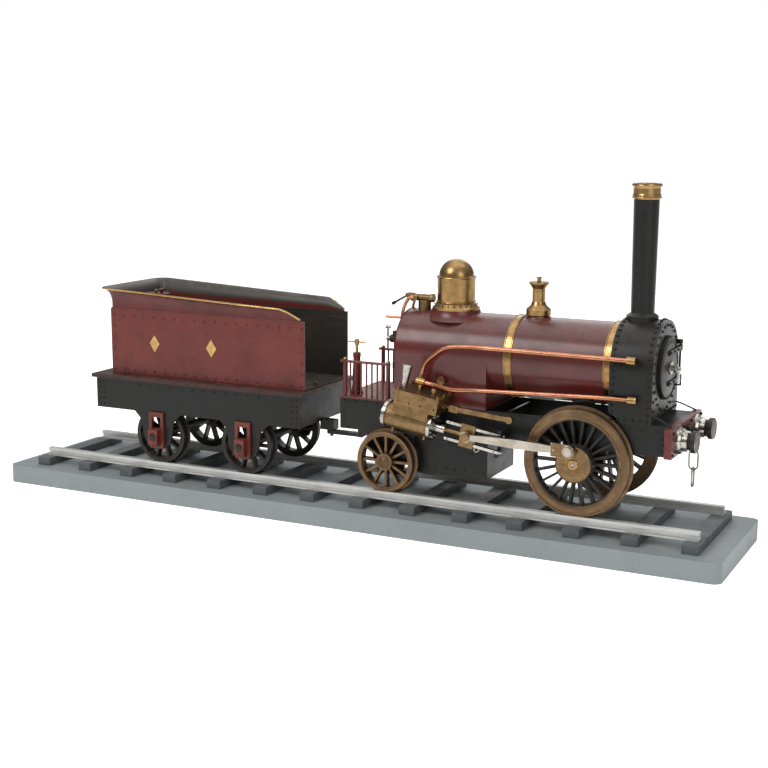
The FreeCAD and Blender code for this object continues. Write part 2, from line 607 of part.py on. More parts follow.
dome_outside = turned([
    ("0", "0"), ("dome_flange", "0"), ("dome_flange", "2.5"), ("dome_radius + 3", "dome_step_z - dome_base_z - 2"),
    ("dome_radius + 1.6", "dome_step_z - dome_base_z"), ("dome_radius", "dome_step_z - dome_base_z + 1.5"),
    ("dome_radius", "dome_joint_z - dome_base_z - 2.4"), ("dome_radius + 0.9", "dome_joint_z - dome_base_z - 1.6"),
    ("dome_radius + 0.9", "dome_joint_z - dome_base_z - 0.4"), ("dome_ball", "dome_joint_z - dome_base_z"),
    ("0", "dome_joint_z - dome_base_z + dome_ball")], "dome_x", "0", "dome_base_z", ball=True)
dome_inside = turned([("0", "0"), ("dome_radius - dome_wall", "0"),
                      ("dome_radius - dome_wall - 2", "dome_joint_z - dome_base_z"),
                      ("0", "dome_joint_z - dome_base_z + dome_radius - dome_wall - 2")],
                     "dome_x", "0", "dome_base_z - 0.01", ball=True)
keep(cut(dome_outside, dome_inside), "dome_cover")

valve_low = "boiler_z + boiler_radius - 4"
keep(cut(turned([("0", "0"), ("valve_base - 2", "0"), ("valve_base - 2", "5"), ("valve_base", "7"),
                 ("valve_base", "14"), ("valve_waist + 2", "20"), ("valve_waist", "25"),
                 ("valve_waist", f"valve_top_z - ({valve_low}) - 9"),
                 ("valve_lip", f"valve_top_z - ({valve_low}) - 2.5"), ("valve_lip", f"valve_top_z - ({valve_low})"),
                 ("valve_knob", f"valve_top_z - ({valve_low})"), ("valve_knob", f"valve_knob_z - ({valve_low})"),
                 ("0", f"valve_knob_z - ({valve_low})")], "valve_x", "0", valve_low),
         rod("boiler_radius", "60", "valve_x - 30", "0", "boiler_z", "x")), "safety_valve")

turret_low = "boiler_z + boiler_radius - 6"
lever_x, lever_z = "turret_x - 25", "turret_top_z + 6"
body_z = "turret_top_z + 3"
cheeks = [box("turret_x - 27.6", "turret_x - 18", y, f"{y} + 1.5", "turret_top_z + 2.4", "turret_top_z + 8.4")
          for y in ("-4.8", "3.3")]
keep(cut(fuse(rod("turret_radius", f"turret_top_z - ({turret_low})", "turret_x", "0", turret_low),
              rod("4.8", "35", "turret_x - 20", "0", body_z, "x"),
              rod("6", "4", "turret_x + turret_radius + 1", "0", body_z, "x"),
              rod("6", "4", "turret_x - 20", "0", body_z, "x"),
              rod("3", "2*turret_arm", "turret_x - 10", "-turret_arm", body_z, "y"),
              *cheeks, rod("1.2", "9", lever_x, "-4.5", lever_z, "y")),
         rod("boiler_radius", "60", "turret_x - 30", "0", "boiler_z", "x")), "turret")
lever_bar = place(rod("1.4", "turret_lever_length", "0", "0", "0"), lever_x, "0", lever_z, (0, 1, 0), "-120")
lever_knob = place(rod("2.3", "5", "0", "0", "0"), f"{lever_x} - (turret_lever_length - 3)*sin(60)", "0",
                   f"{lever_z} - (turret_lever_length - 3)*cos(60)", (0, 1, 0), "-120")
keep(cut(fuse(rod("2.6", "6", lever_x, "-3", lever_z, "y"), lever_bar, lever_knob),
         rod("1.2 + running_fit", "10", lever_x, "-5", lever_z, "y")), "turret_lever")

# ---------------------------------------------------------------- backhead fittings

door_y = "firehole_radius + 7"
keep(cut(fuse(rod("firehole_radius + 3", "3", "boiler_rear_x - part_gap - 3", "0", "firehole_z", "x"),
              box("boiler_rear_x - part_gap - 5", "boiler_rear_x - part_gap - 2.5", "-6", door_y,
                  "firehole_z - 3", "firehole_z + 3"),
              rod("3", "10", "boiler_rear_x - part_gap - 3.5", door_y, "firehole_z - 5"),
              rod("2", "8", "boiler_rear_x - part_gap - 10", "-8", "firehole_z", "x")),
         rod("1.3 + running_fit", "30", "boiler_rear_x - part_gap - 3.5", door_y, "firehole_z - 15")), "fire_door")
fire_hinge = fuse(rod("1.3", "22", "boiler_rear_x - part_gap - 3.5", door_y, "firehole_z - 11"),
                  *[box("boiler_rear_x - 6.4", "boiler_rear_x", f"{door_y} - 2", f"{door_y} + 2",
                        f"firehole_z + {low}", f"firehole_z + {high}") for low, high in ((-11, -6), (6, 11))])

regulator_z = "boiler_z + 10"
regulator_gland = fuse(rod("7.5", "4", "boiler_rear_x - 4", "0", regulator_z, "x"),
                       rod("5.6", "32", "boiler_rear_x - 32", "0", regulator_z, "x"))
keep(fuse(rod("3.2", "6", "boiler_rear_x - 32 - part_gap - 6", "0", regulator_z, "x"),
          box("boiler_rear_x - 32 - part_gap - 6", "boiler_rear_x - 32 - part_gap - 3.5", "-1.6", "1.6",
              f"{regulator_z} - 14", f"{regulator_z} + 16"),
          rod("2.2", "7", "boiler_rear_x - 32 - part_gap - 8", "0", f"{regulator_z} + 16", "x")), "regulator_lever")

gauge_x = "boiler_rear_x - 11"
gauge = [fuse(rod("2.6", "11", gauge_x, f"{side}*30", "boiler_z - 22", "x"),
              rod("2.6", "11", gauge_x, f"{side}*30", "boiler_z + 22", "x"),
              rod("3.8", "8", gauge_x, f"{side}*30", "boiler_z - 26"),
              rod("3.8", "8", gauge_x, f"{side}*30", "boiler_z + 18"),
              rod("2.2", "48", gauge_x, f"{side}*30", "boiler_z - 24")) for name, side in SIDES]
keep(group(*gauge, regulator_gland, fire_hinge), "backhead_fittings")

blower_route = [("turret_x - 13 - running_fit", "-turret_arm + 2", body_z),
                ("turret_x - 20", "-turret_arm + 2", body_z),
                ("boiler_rear_x - 4", "-blower_y + 4", "turret_top_z - 9"),
                ("boiler_rear_x - 5", "-blower_y", "turret_top_z - 28"),
                ("boiler_rear_x - 5", "-blower_y", "turret_top_z - 70"),
                ("boiler_rear_x - 5", "-blower_y", "plate_top + 6")]
injector_route = [("turret_x - 13 - running_fit", "turret_arm - 2", body_z),
                  ("turret_x - 18", "turret_arm - 2", body_z),
                  ("boiler_rear_x - 4", "turret_arm", "turret_top_z - 14"),
                  ("boiler_rear_x - 4.5", "turret_arm + 2", "turret_top_z - 30"),
                  ("boiler_rear_x - 4.5", "turret_arm + 2", "turret_top_z - 42")]
blower_handle = rod("1.8", "23", "boiler_rear_x - 29", "-blower_y", "turret_top_z - 24", "x")
keep(group(fuse(pipe("2.4", blower_route), blower_handle), pipe("2", injector_route)), "backhead_pipes")

# ---------------------------------------------------------------- side pipes and fittings

steam_start = ("steam_boss_x", "chest_top + 10 + running_fit")
steam_rise = ("steam_boss_x", "chest_top + 34")
steam_route = [("pipe_union_x - running_fit", "pipe_y", "steam_pipe_z - 0.5"),
               ("pipe_union_x - 40", "pipe_y", "steam_pipe_z - 0.5"),
               ("valve_x + 20", "pipe_y", "steam_pipe_z + 1"),
               ("dome_x + 42", "pipe_y", "steam_pipe_z + 1"),
               ("dome_x + 12", "pipe_y", "steam_pipe_z - 2"),
               (tilted_x(*steam_rise), "pipe_y", tilted_z(*steam_rise)),
               (tilted_x(*steam_start), "pipe_y", tilted_z(*steam_start))]
feed_start = ("elbow_x + 6 + running_fit", "chest_top + elbow_rise")
feed_leave = ("elbow_x + 19", "chest_top + elbow_rise")
feed_route = [("pipe_union_x + 3 - running_fit", "pipe_y", "feed_pipe_z + 3"),
              ("pipe_union_x - 34", "pipe_y", "feed_pipe_z + 3"),
              ("valve_x + 24", "pipe_y", "feed_pipe_z"),
              ("dome_x + 60", "pipe_y", "feed_pipe_z - 3"),
              ("dome_x + 28", "pipe_y + 8", "feed_pipe_z - 4"),
              (tilted_x(*feed_leave), "elbow_y", tilted_z(*feed_leave)),
              (tilted_x(*feed_start), "elbow_y", tilted_z(*feed_start))]
keep(group(pipe("steam_pipe_radius", by_y(steam_route)), pipe("steam_pipe_radius", steam_route),
           pipe("feed_pipe_radius", by_y(feed_route)), pipe("feed_pipe_radius", feed_route)), "side_pipes")

unions = []
for name, side in SIDES:
    for union_x, union_z in (("pipe_union_x", "steam_pipe_z - 0.5"), ("pipe_union_x + 3", "feed_pipe_z + 3")):
        low, high = across(side, "smokebox_radius - 6", "pipe_y")
        stub = rod("union_radius - 1", f"({high}) - ({low})", f"{union_x} + union_length/2", low, union_z, "y")
        unions.append(cut(fuse(stub, rod("union_radius", "union_length", union_x, f"{side}*pipe_y", union_z, "x")),
                          rod("smokebox_radius", "smokebox_length", "smokebox_rear_x", "0", "boiler_z", "x"),
                          box("smokebox_rear_x", "smokebox_front_x", "-smokebox_radius", "smokebox_radius",
                              "plate_top", "boiler_z")))
    unions.append(fuse(rod("4", "6", "check_valve_x", f"{side}*boiler_radius", "check_valve_z", outward(side)),
                       rod("5.6", "5", "check_valve_x", f"{side}*(boiler_radius + 4)", "check_valve_z",
                           outward(side))))

# ---------------------------------------------------------------- cylinders, drawn level behind the axle

castings, covers, chests, cups, elbows = [], [], [], [], []
for name, side in SIDES:
    y = f"{side}*cylinder_y"
    foot_low, foot_high = across(side, "frame_outer", "cylinder_y")
    top_low, top_high = across(side, "chest_inner", "chest_outer")
    barrel = rod("cylinder_radius", "cylinder_length", "-cylinder_rear", y, "0", "x")
    saddle = box("-cylinder_rear + 4", "-cylinder_front - 4", foot_low, foot_high, "-cylinder_radius*0.7",
                 "cylinder_top")
    seat = fuse(box("-chest_rear", "-cylinder_front", top_low, top_high, "cylinder_top - 16", "cylinder_top"),
                box("-chest_rear", "-chest_front", top_low, top_high, "cover_radius + 0.6", "cylinder_top"))
    bore = rod("cylinder_bore", "cylinder_length + 2", "-cylinder_rear - 1", y, "0", "x")
    castings.append(tilt(cut(fuse(barrel, saddle, seat), bore)))
    covers.append(tilt(rod("cover_radius", "cover_thickness", "-cylinder_rear - cover_thickness", y, "0", "x")))
    front_cover = fuse(rod("cover_radius", "cover_thickness", "-cylinder_front", y, "0", "x"),
                       rod("gland_radius", "gland_length", "-cylinder_front + cover_thickness", y, "0", "x"))
    covers.append(tilt(cut(front_cover, rod("piston_rod_radius + running_fit", "60", "-cylinder_front - 1",
                                            y, "0", "x"))))
    chest = fuse(box("-chest_rear", "-chest_front", top_low, top_high, "cylinder_top", "chest_top - 4"),
                 box("-chest_rear - 1.5", "-chest_front + 1.5", f"{top_low} - 1.5", f"{top_high} + 1.5",
                     "chest_top - 4", "chest_top"),
                 rod("spindle_radius + 2.4", "3", "-chest_front", f"{side}*valve_rod_y", "spindle_offset", "x"))
    chests.append(tilt(cut(chest, rod("spindle_radius + running_fit", "40", "-chest_front - 30",
                                      f"{side}*valve_rod_y", "spindle_offset", "x"))))
    cup_x = "cup_x - driving_axle_x"
    cups.append(tilt(fuse(rod("2.4", "8", cup_x, f"{side}*cup_y", "chest_top"),
                          cone("cup_bottom", "cup_top", "cup_height", cup_x, f"{side}*cup_y", "chest_top + 5"),
                          rod("cup_top + 0.8", "2", cup_x, f"{side}*cup_y", "chest_top + 5 + cup_height"))))
    elbows.append(tilt(fuse(rod("3", "elbow_rise", "elbow_x", f"{side}*elbow_y", "chest_top"),
                            rod("5", "12", "elbow_x - 6", f"{side}*elbow_y", "chest_top + elbow_rise", "x"))))
    elbows.append(tilt(fuse(rod("6", "4", "steam_boss_x", f"{side}*pipe_y", "chest_top"),
                            rod("4.6", "10", "steam_boss_x", f"{side}*pipe_y", "chest_top"))))
keep(group(*castings), "cylinders")
keep(group(*covers), "cylinder_covers")
keep(group(*chests), "valve_chests")
keep(group(*cups), "oil_cups")
keep(group(*unions, *elbows), "pipe_unions")

bars, arms = [], []
for name, side in SIDES:
    low, high = across(side, "bar_y - bar_width/2", "bar_y + bar_width/2")
    for height in ("bar_offset", "-bar_offset"):
        bars.append(tilt(box("-(gland_end)", "-bar_end", low, high, f"{height} - bar_height/2",
                             f"{height} + bar_height/2")))
    plate_low, plate_high = across(side, "frame_outer", "bar_y + bar_width/2")
    arm = box("-bar_end - bracket_thickness", "-bar_end", plate_low, plate_high,
              "-bar_offset - 7", "bar_offset + 7")
    window = box("-bar_end - bracket_thickness - 1", "-bar_end + 1", *across(side, "bar_y - bar_width/2 - 3",
                 "bar_y + bar_width/2 + 1"), "-bar_offset - bar_height/2", "bar_offset + bar_height/2")
    arms.append(tilt(cut(arm, window)))
keep(group(*bars), "slide_bars")
keep(group(*arms), "motion_plates")

# ---------------------------------------------------------------- moving motion work

stroke_angle = "180 - stroke_incline"
CRANKS = {"right": "crank_angle", "left": "crank_angle + 90"}
for name, side in SIDES:
    crank = CRANKS[name]
    y = f"{side}*cylinder_y"
    lean = f"crank_throw*sin({stroke_angle} - ({crank}))"
    gudgeon = f"crank_throw*cos({stroke_angle} - ({crank})) + sqrt(rod_length^2 - ({lean})^2)"
    low, high = across(side, "bar_y - bar_width/2", "bar_y + bar_width/2 + part_gap")
    face_low, face_high = across(side, "bar_y + bar_width/2 + part_gap", "rod_inner - side_play")
    shoe = "bar_offset - bar_height/2 - slide_fit"
    wing = "bar_offset + bar_height/2 + 2.5"
    piston_x = f"-({gudgeon}) - (cylinder_rear - cylinder_length/2 - rod_length)"
    block = fuse(box(f"-({gudgeon}) - crosshead_length/2", f"-({gudgeon}) + crosshead_length/2", low, high,
                     f"-({shoe})", shoe),
                 box(f"-({gudgeon}) - crosshead_length/2", f"-({gudgeon}) + crosshead_length/2",
                     face_low, face_high, f"-({wing})", wing),
                 rod("pin_radius", "rod_thickness + side_play + part_gap + 1", f"-({gudgeon})",
                     f"{side}*(rod_inner - side_play)", "0", outward(side)),
                 rod("pin_radius + 2.6", "3", f"-({gudgeon})", f"{side}*(rod_outer + part_gap)", "0", outward(side)))
    socket = rod("piston_rod_radius", "crosshead_length/2 + 1", f"-({gudgeon}) - crosshead_length/2 - 1", y, "0", "x")
    sleeve = tilt(cut(block, socket))
    piston = fuse(rod("piston_rod_radius", f"-({gudgeon}) - ({piston_x})", piston_x, y, "0", "x"),
                  rod("cylinder_bore - running_fit", "piston_length", piston_x, y, "0", "x"))
    keep(group(sleeve, tilt(piston)), f"{name}_crosshead")

    # The connecting rod lies between the gudgeon pin and the crank pin, drawn level from the gudgeon.
    rod_low, rod_high = across(side, "rod_inner", "rod_outer")
    big = rod("rod_big_end", "rod_thickness", "rod_length", f"{side}*rod_inner", "0", outward(side))
    small = rod("rod_small_end", "rod_thickness", "0", f"{side}*rod_inner", "0", outward(side))
    stations = (("0", "rod_neck/2"), ("rod_length*0.2", "rod_neck/2 + 1.4"), ("rod_length*0.5", "rod_belly/2"),
                ("rod_length*0.72", "rod_belly/2 - 0.6"), ("rod_length - 20", "rod_throat/2"))
    shank = plate([(x, f"-({z})") for x, z in stations] + list(stations[::-1]), "rod_thickness", rod_low)
    strap = box("rod_length - 23", "rod_length", rod_low, rod_high, "-rod_big_end", "rod_big_end")
    pin_head = rod("crank_pin_radius + 1.5", "3", "rod_length", f"{side}*rod_outer", "0", outward(side))
    whole = cut(fuse(big, small, shank, strap, pin_head),
                rod("pin_radius + running_fit", "rod_thickness + 2", "0", f"{side}*(rod_inner - 1)", "0", outward(side)))
    swing = f"asin(({lean})/rod_length)/1deg"
    item = place(whole, f"driving_axle_x - ({gudgeon})*cos(stroke_incline)", "0",
                 f"driving_z + ({gudgeon})*sin(stroke_incline)", (0, 1, 0), f"stroke_incline - ({swing})")
    keep(item, f"{name}_connecting_rod")

    # Valve rod: spindle into the chest, knuckle and the rod back to the rocker pin.
    rod_y = f"{side}*valve_rod_y"
    knuckle_low, knuckle_high = across(side, "valve_rod_y - 4", "valve_rod_y + 4")
    slope = "stroke_incline - 5.3"
    reach = plate([("0", "-valve_rod_radius"), ("valve_rod_length", "-valve_rod_radius"),
                   ("valve_rod_length", "valve_rod_radius"), ("0", "valve_rod_radius")], "5",
                  f"{rod_y} - 2.5")
    place(reach, "-knuckle_distance", f"{rod_y} - 2.5", "spindle_offset", (0, 1, 0), f"-({slope})")
    far_x = f"-knuckle_distance + valve_rod_length*cos({slope})"
    far_z = f"spindle_offset + valve_rod_length*sin({slope})"
    keep(tilt(fuse(
        rod("spindle_radius", "chest_front + 26 - knuckle_distance", "-chest_front - 26", rod_y, "spindle_offset", "x"),
        box("-knuckle_distance - 6", "-knuckle_distance + 7", knuckle_low, knuckle_high,
            "spindle_offset - 4.4", "spindle_offset + 4.4"),
        reach,
        rod("4.6", "8", far_x, knuckle_low, far_z, "y"),
        rod("2", "12", f"-knuckle_distance", f"{rod_y} - 6", "spindle_offset", "y"))), f"{name}_valve_rod")

# ---------------------------------------------------------------- wheels

wheel_centres, tyres = [], []
for name, side in SIDES:
    direction = outward(side)
    centre = spoked("driving_tread - tyre_depth", "driving_rim - tyre_depth", "driving_spokes", "driving_hub",
                    "driving_hub_face", "driving_spoke")
    place(centre, "driving_axle_x", f"{side}*wheel_back", "driving_z", *ALONG[direction])
    crank = CRANKS[name]
    boss_x = f"driving_axle_x + crank_throw*cos({crank})"
    boss_z = f"driving_z + crank_throw*sin({crank})"
    boss = rod("rod_big_end - 1.5", "rod_inner - side_play - driving_hub_face + 2", boss_x,
               f"{side}*(driving_hub_face - 2)", boss_z, direction)
    wheel_centres.append(fuse(centre, boss))
    tyres.append(turned(flange("driving_tread", "driving_tread - tyre_depth"), "driving_axle_x",
                        f"{side}*wheel_back", "driving_z", direction))
keep(group(*wheel_centres), "driving_wheels")
keep(group(*tyres), "driving_tyres")
keep(rod("axle_radius", "2*axle_end", "driving_axle_x", "-axle_end", "driving_z", "y"), "driving_axle")


def wheelset(label, x, spokes, journal):
    """Two carrying wheels pressed on their axle."""
    pieces = []
    for name, side in SIDES:
        wheel = spoked("carrying_tread - 2.2", "carrying_rim - 2.2", spokes, "carrying_hub", "carrying_hub_face",
                       "carrying_spoke")
        place(wheel, x, f"{side}*wheel_back", "carrying_z", *ALONG[outward(side)])
        tyre = turned(flange("carrying_tread", "carrying_tread - 2.2"), x, f"{side}*wheel_back", "carrying_z",
                      outward(side))
        pieces.append(fuse(wheel, tyre))
    keep(group(*pieces, rod("axle_radius", f"2*({journal})", x, f"-({journal})", "carrying_z", "y")),
         f"{label}_wheelset")


wheelset("trailing", "trailing_axle_x", "carrying_spokes", "carrying_hub_face + 1")
wheelset("tender_front", "tender_front_axle_x", "tender_spokes", "tender_frame_outer + 5")
wheelset("tender_rear", "tender_rear_axle_x", "tender_spokes", "tender_frame_outer + 5")

# ---------------------------------------------------------------- footplate, railings, brake, ash pan

keep(box("footplate_rear_x", "footplate_front_x", "-footplate_half", "footplate_half", "frame_top", "plate_top"),
     "footplate")
railings = []
for name, side in SIDES:
    y = f"{side}*(footplate_half - 4)"
    posts = [rod("rail_post", "railing_height", post_x, y, "plate_top")
             for post_x in ("footplate_rear_x + 8", "railing_front_x - 3")]
    bar = rod("railing_bar", "railing_front_x - footplate_rear_x - 1", "footplate_rear_x + 1", y,
              "plate_top + railing_height - 3", "x")
    count = int(size("baluster_count"))
    balusters = [rod("baluster_radius", "railing_height - 3",
                     mid("footplate_rear_x + 8", "railing_front_x - 3", f"{number + 1}/{count + 1}"),
                     y, "plate_top") for number in range(count)]
    railings.append(fuse(*posts, bar, *balusters))
keep(group(*railings), "railings")

keep(cut(fuse(cone("7.5", "4.6", "brake_column_height", "brake_x", "-brake_y", "plate_top"),
              rod("9", "3", "brake_x", "-brake_y", "plate_top"),
              rod("5.6", "6", "brake_x", "-brake_y", "plate_top + brake_column_height - 6")),
         rod("2 + running_fit", "30", "brake_x", "-brake_y", "plate_top + brake_column_height - 20")), "brake_column")
keep(fuse(rod("2", "36", "brake_x", "-brake_y", "plate_top + brake_column_height - 19"),
          rod("3.2", "8", "brake_x", "-brake_y", "plate_top + brake_column_height + 11"),
          rod("1.2", "brake_handle_length", "brake_x - brake_handle_length/2", "-brake_y",
              "plate_top + brake_column_height + 15", "x")), "brake_handle")

pan_outer = box("ash_pan_rear_x", "ash_pan_front_x", "-ash_pan_half", "ash_pan_half", "ash_pan_bottom", "frame_top")
pan_inner = box("ash_pan_rear_x + 2.5", "ash_pan_front_x - 2.5", "-ash_pan_half + 2.5", "ash_pan_half - 2.5",
                "ash_pan_bottom + 2.5", "frame_top + 1")
keep(cut(pan_outer, pan_inner), "ash_pan")

# ---------------------------------------------------------------- tender

frame_low = "tender_frame_bottom"
tender_points = [("tender_rear_x", "tender_deck_z"), ("tender_front_x", "tender_deck_z"),
                 ("tender_front_x", frame_low)]
for axle in ("tender_front_axle_x", "tender_rear_axle_x"):
    tender_points += [(f"{axle} + lobe_half + 16", frame_low), (f"{axle} + lobe_half + 4", f"{frame_low} - 12"),
                      (f"{axle} + lobe_half", "lobe_bottom + 12"), (f"{axle} + lobe_half - 6", "lobe_bottom"),
                      (f"{axle} - lobe_half + 6", "lobe_bottom"), (f"{axle} - lobe_half", "lobe_bottom + 12"),
                      (f"{axle} - lobe_half - 4", f"{frame_low} - 12"), (f"{axle} - lobe_half - 16", frame_low)]
tender_points.append(("tender_rear_x", frame_low))
plates, guides, boxes, cushions = [], [], [], []
for name, side in SIDES:
    low, high = across(side, "tender_frame_inner", "tender_frame_outer")
    face_low, face_high = across(side, "tender_frame_outer", "guide_face")
    box_low, box_high = across(side, "tender_frame_inner", "guide_face + box_length")
    slots = [box(f"{axle} - horn_slot", f"{axle} + horn_slot", f"{low} - 1", f"{high} + 1", "lobe_bottom - 1",
                 "horn_slot_top") for axle in ("tender_front_axle_x", "tender_rear_axle_x")]
    plates.append(cut(plate(tender_points, "tender_frame_thickness", low), *slots))
    for axle in ("tender_front_axle_x", "tender_rear_axle_x"):
        guides.append(cut(box(f"{axle} - guide_half", f"{axle} + guide_half", face_low, face_high,
                              "guide_bottom", "guide_top"),
                          box(f"{axle} - horn_slot", f"{axle} + horn_slot", f"{face_low} - 1", f"{face_high} + 1",
                              "guide_bottom + 4", "horn_slot_top")))
        case = box(f"{axle} - horn_slot + running_fit", f"{axle} + horn_slot - running_fit", box_low, box_high,
                   "carrying_z - box_height/2", "carrying_z + box_height/2")
        boxes.append(cut(case, rod("bore_radius", "tender_frame_thickness + 6.4",
                                   axle, "tender_frame_inner - 1" if side == "1" else "-(tender_frame_outer + 5.4)",
                                   "carrying_z", "y")))
    cushions.append(rod("tender_buffer", "10", "tender_rear_x - 10", f"{side}*buffer_y",
                        f"(tender_deck_z + {frame_low})/2", "x"))
keep(group(*guides, *boxes), "tender_axle_guards")
drawbar_top = "drawbar_z + drawbar_thickness/2"
bracket = fuse(box("tender_front_x - 6", "tender_front_x", "-tender_frame_inner", "tender_frame_inner", frame_low,
                   "tender_deck_z"),
               box("tender_front_x - 6", "drawbar_rear_x + 7", "-8", "8", f"{drawbar_top} + 1", frame_low),
               rod("drawbar_pin", "drawbar_thickness + 6", "drawbar_rear_x", "0",
                   "drawbar_z - drawbar_thickness/2 - 4"))
keep(group(*plates, *cushions, bracket,
           box("tender_rear_x", "tender_rear_x + 6", "-tender_frame_inner", "tender_frame_inner", frame_low,
               "tender_deck_z")), "tender_frames")
keep(box("tender_rear_x - deck_overhang", "tender_front_x + 5", "-deck_half", "deck_half",
         "tender_deck_z", "tank_floor"), "tender_deck")

tank_outer = box("tank_rear_x", "tank_front_x", "-tank_half", "tank_half", "tank_floor", "tank_top")
water_space = box("tank_rear_x + tank_wall", "water_front_x - tank_wall", "-tank_half + tank_wall",
                  "tank_half - tank_wall", "tank_floor + tank_wall", "tank_top - tank_wall")
coal_space = box("water_front_x", "tank_front_x + 1", "-tank_half + tank_wall", "tank_half - tank_wall",
                 "tank_floor + tank_wall", "tank_top + 1")
filler_hole = rod("filler_radius - 3", "tank_wall + 2", "filler_x", "0", "tank_top - tank_wall - 1")
filler_neck = cut(rod("filler_radius", "filler_height", "filler_x", "0", "tank_top"),
                  rod("filler_radius - 3", "filler_height + 2", "filler_x", "0", "tank_top - 1"))
keep(group(cut(tank_outer, water_space, coal_space, filler_hole), filler_neck), "tender_tank")
hinge_x = "filler_x - filler_radius - 4"
lid_z = "tank_top + filler_height + part_gap"
keep(fuse(rod("filler_radius + 1.5", "lid_thickness", "filler_x", "0", lid_z),
          box(hinge_x, "filler_x", "-4", "4", lid_z, f"{lid_z} + lid_thickness"),
          rod("2", "8", hinge_x, "-4", f"{lid_z} + 1", "y"),
          rod("2.4", "6", "filler_x + 10", "0", f"{lid_z} + lid_thickness"),
          rod("1.8", "16", "filler_x + 10", "-8", f"{lid_z} + lid_thickness + 6", "y")), "filler_lid")


def coping():
    """The flared coping sheet: a hollow curve swept round the sides and the back of the tank."""
    wall, inset = size("coping_wall"), size("coping_corner")
    base, half = size("tank_top"), size("tank_half")
    rear, start = size("tank_rear_x"), size("coping_start_x")
    high, low = size("coping_height"), size("coping_front_height")
    reach = (start - rear) * 0.09
    steps = 8

    def section(at, direction, height, flare):
        """One cross-section of the sheet, rising from the tank's edge and curving outwards."""
        outer, inner = [at], [at - direction * wall]
        for step in range(steps + 1):
            turn = math.radians(84) * step / steps
            point = at + direction * (flare * (1 - math.cos(turn)))
            point += Vector(0, 0, height * (0.25 + 0.75 * math.sin(turn)))
            out, rise = flare * math.sin(turn), 0.75 * height * math.cos(turn)
            span = math.hypot(out, rise)
            outer.append(point)
            inner.append(point - direction * (wall * rise / span) + Vector(0, 0, wall * out / span))
        return Part.makePolygon(outer + inner[::-1] + [outer[0]])

    flare = size("coping_flare")
    pieces = []
    for side in (-1, 1):
        sideways = Vector(0, side, 0)
        stations = [section(Vector(start, side * half, base), sideways, 2.5, 0.8),
                    section(Vector(start - reach, side * half, base), sideways, low, flare * 0.62),
                    section(Vector(rear + inset, side * half, base), sideways, high, flare)]
        pieces.append(Part.makeLoft(stations, True, True))
        corner = Vector(rear + inset, side * half, base)
        face = Part.Face(section(corner, sideways, high, flare))
        pieces.append(face.revolve(Vector(rear + inset, side * (half - inset), base), Vector(0, 0, 1), 90 * side))
    back = [section(Vector(rear, side * (half - inset), base), Vector(-1, 0, 0), high, flare) for side in (-1, 1)]
    pieces.append(Part.makeLoft(back, True, True))
    item = doc.addObject("Part::Feature", "Coping")
    item.Shape = pieces[0].fuse(pieces[1:]).removeSplitter()
    item.Placement = Placement()
    return item


keep(coping(), "tender_coping")
drawbar_low = "drawbar_z - drawbar_thickness/2"
keep(cut(fuse(box("drawbar_rear_x", "frame_rear_x + 8", "-drawbar_width/2", "drawbar_width/2", drawbar_low, drawbar_top),
              rod("drawbar_width/2 + 1", "drawbar_thickness", "drawbar_rear_x", "0", drawbar_low),
              box("frame_rear_x + 3", "frame_rear_x + 9", "-drawbar_width/2 - 2", "drawbar_width/2 + 2",
                  drawbar_low, "frame_bottom + 4")),
         rod("drawbar_pin + running_fit", "drawbar_thickness + 2", "drawbar_rear_x", "0", f"{drawbar_low} - 1")),
     "drawbar")

# ---------------------------------------------------------------- checks and export

doc.recompute()
for item in doc.Objects:
    if "Invalid" in item.State or "Error" in item.State:
        raise RuntimeError(f"{item.Name} ({item.Label}) failed: {item.State}")
os.makedirs("parts", exist_ok=True)
for item in PARTS:
    shape = item.Shape
    if shape.isNull() or not shape.isValid() or not shape.Solids:
        raise RuntimeError(f"{item.Label} has no valid solid")
    print(f"{item.Label:24s} solids {len(shape.Solids):3d} volume {shape.Volume:12.1f}")
    shape.exportStep(f"parts/{item.Label}.step")
print(f"{len(PARTS)} sub-parts")
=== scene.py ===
import logging
import math
from dataclasses import dataclass
from enum import Enum
from typing import Sequence, Union

import bmesh
import bpy
from mathutils import Matrix, Vector


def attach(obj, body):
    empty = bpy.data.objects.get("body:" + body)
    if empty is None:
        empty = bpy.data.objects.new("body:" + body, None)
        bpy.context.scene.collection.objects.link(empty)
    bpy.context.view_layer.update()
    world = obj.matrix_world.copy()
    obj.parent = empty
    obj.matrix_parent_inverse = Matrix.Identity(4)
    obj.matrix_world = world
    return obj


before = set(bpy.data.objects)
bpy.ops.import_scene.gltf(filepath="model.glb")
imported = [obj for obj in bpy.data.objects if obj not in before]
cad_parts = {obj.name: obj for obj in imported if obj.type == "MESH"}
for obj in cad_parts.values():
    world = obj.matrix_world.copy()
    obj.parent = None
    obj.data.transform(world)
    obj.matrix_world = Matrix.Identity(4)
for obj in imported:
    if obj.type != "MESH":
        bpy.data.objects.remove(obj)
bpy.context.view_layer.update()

log = logging.getLogger("steam_engine")
MM = 0.001
Colour = tuple[float, float, float]
Point = tuple[float, float, float]
Spot = tuple[Point, Point]
Value = Union[bpy.types.NodeSocket, float]
Groups = dict[str, bpy.types.NodeTree]
SIDES = (-1, 1)
UP: Point = (0.0, 0.0, 1.0)
AHEAD: Point = (1.0, 0.0, 0.0)
BEHIND: Point = (-1.0, 0.0, 0.0)


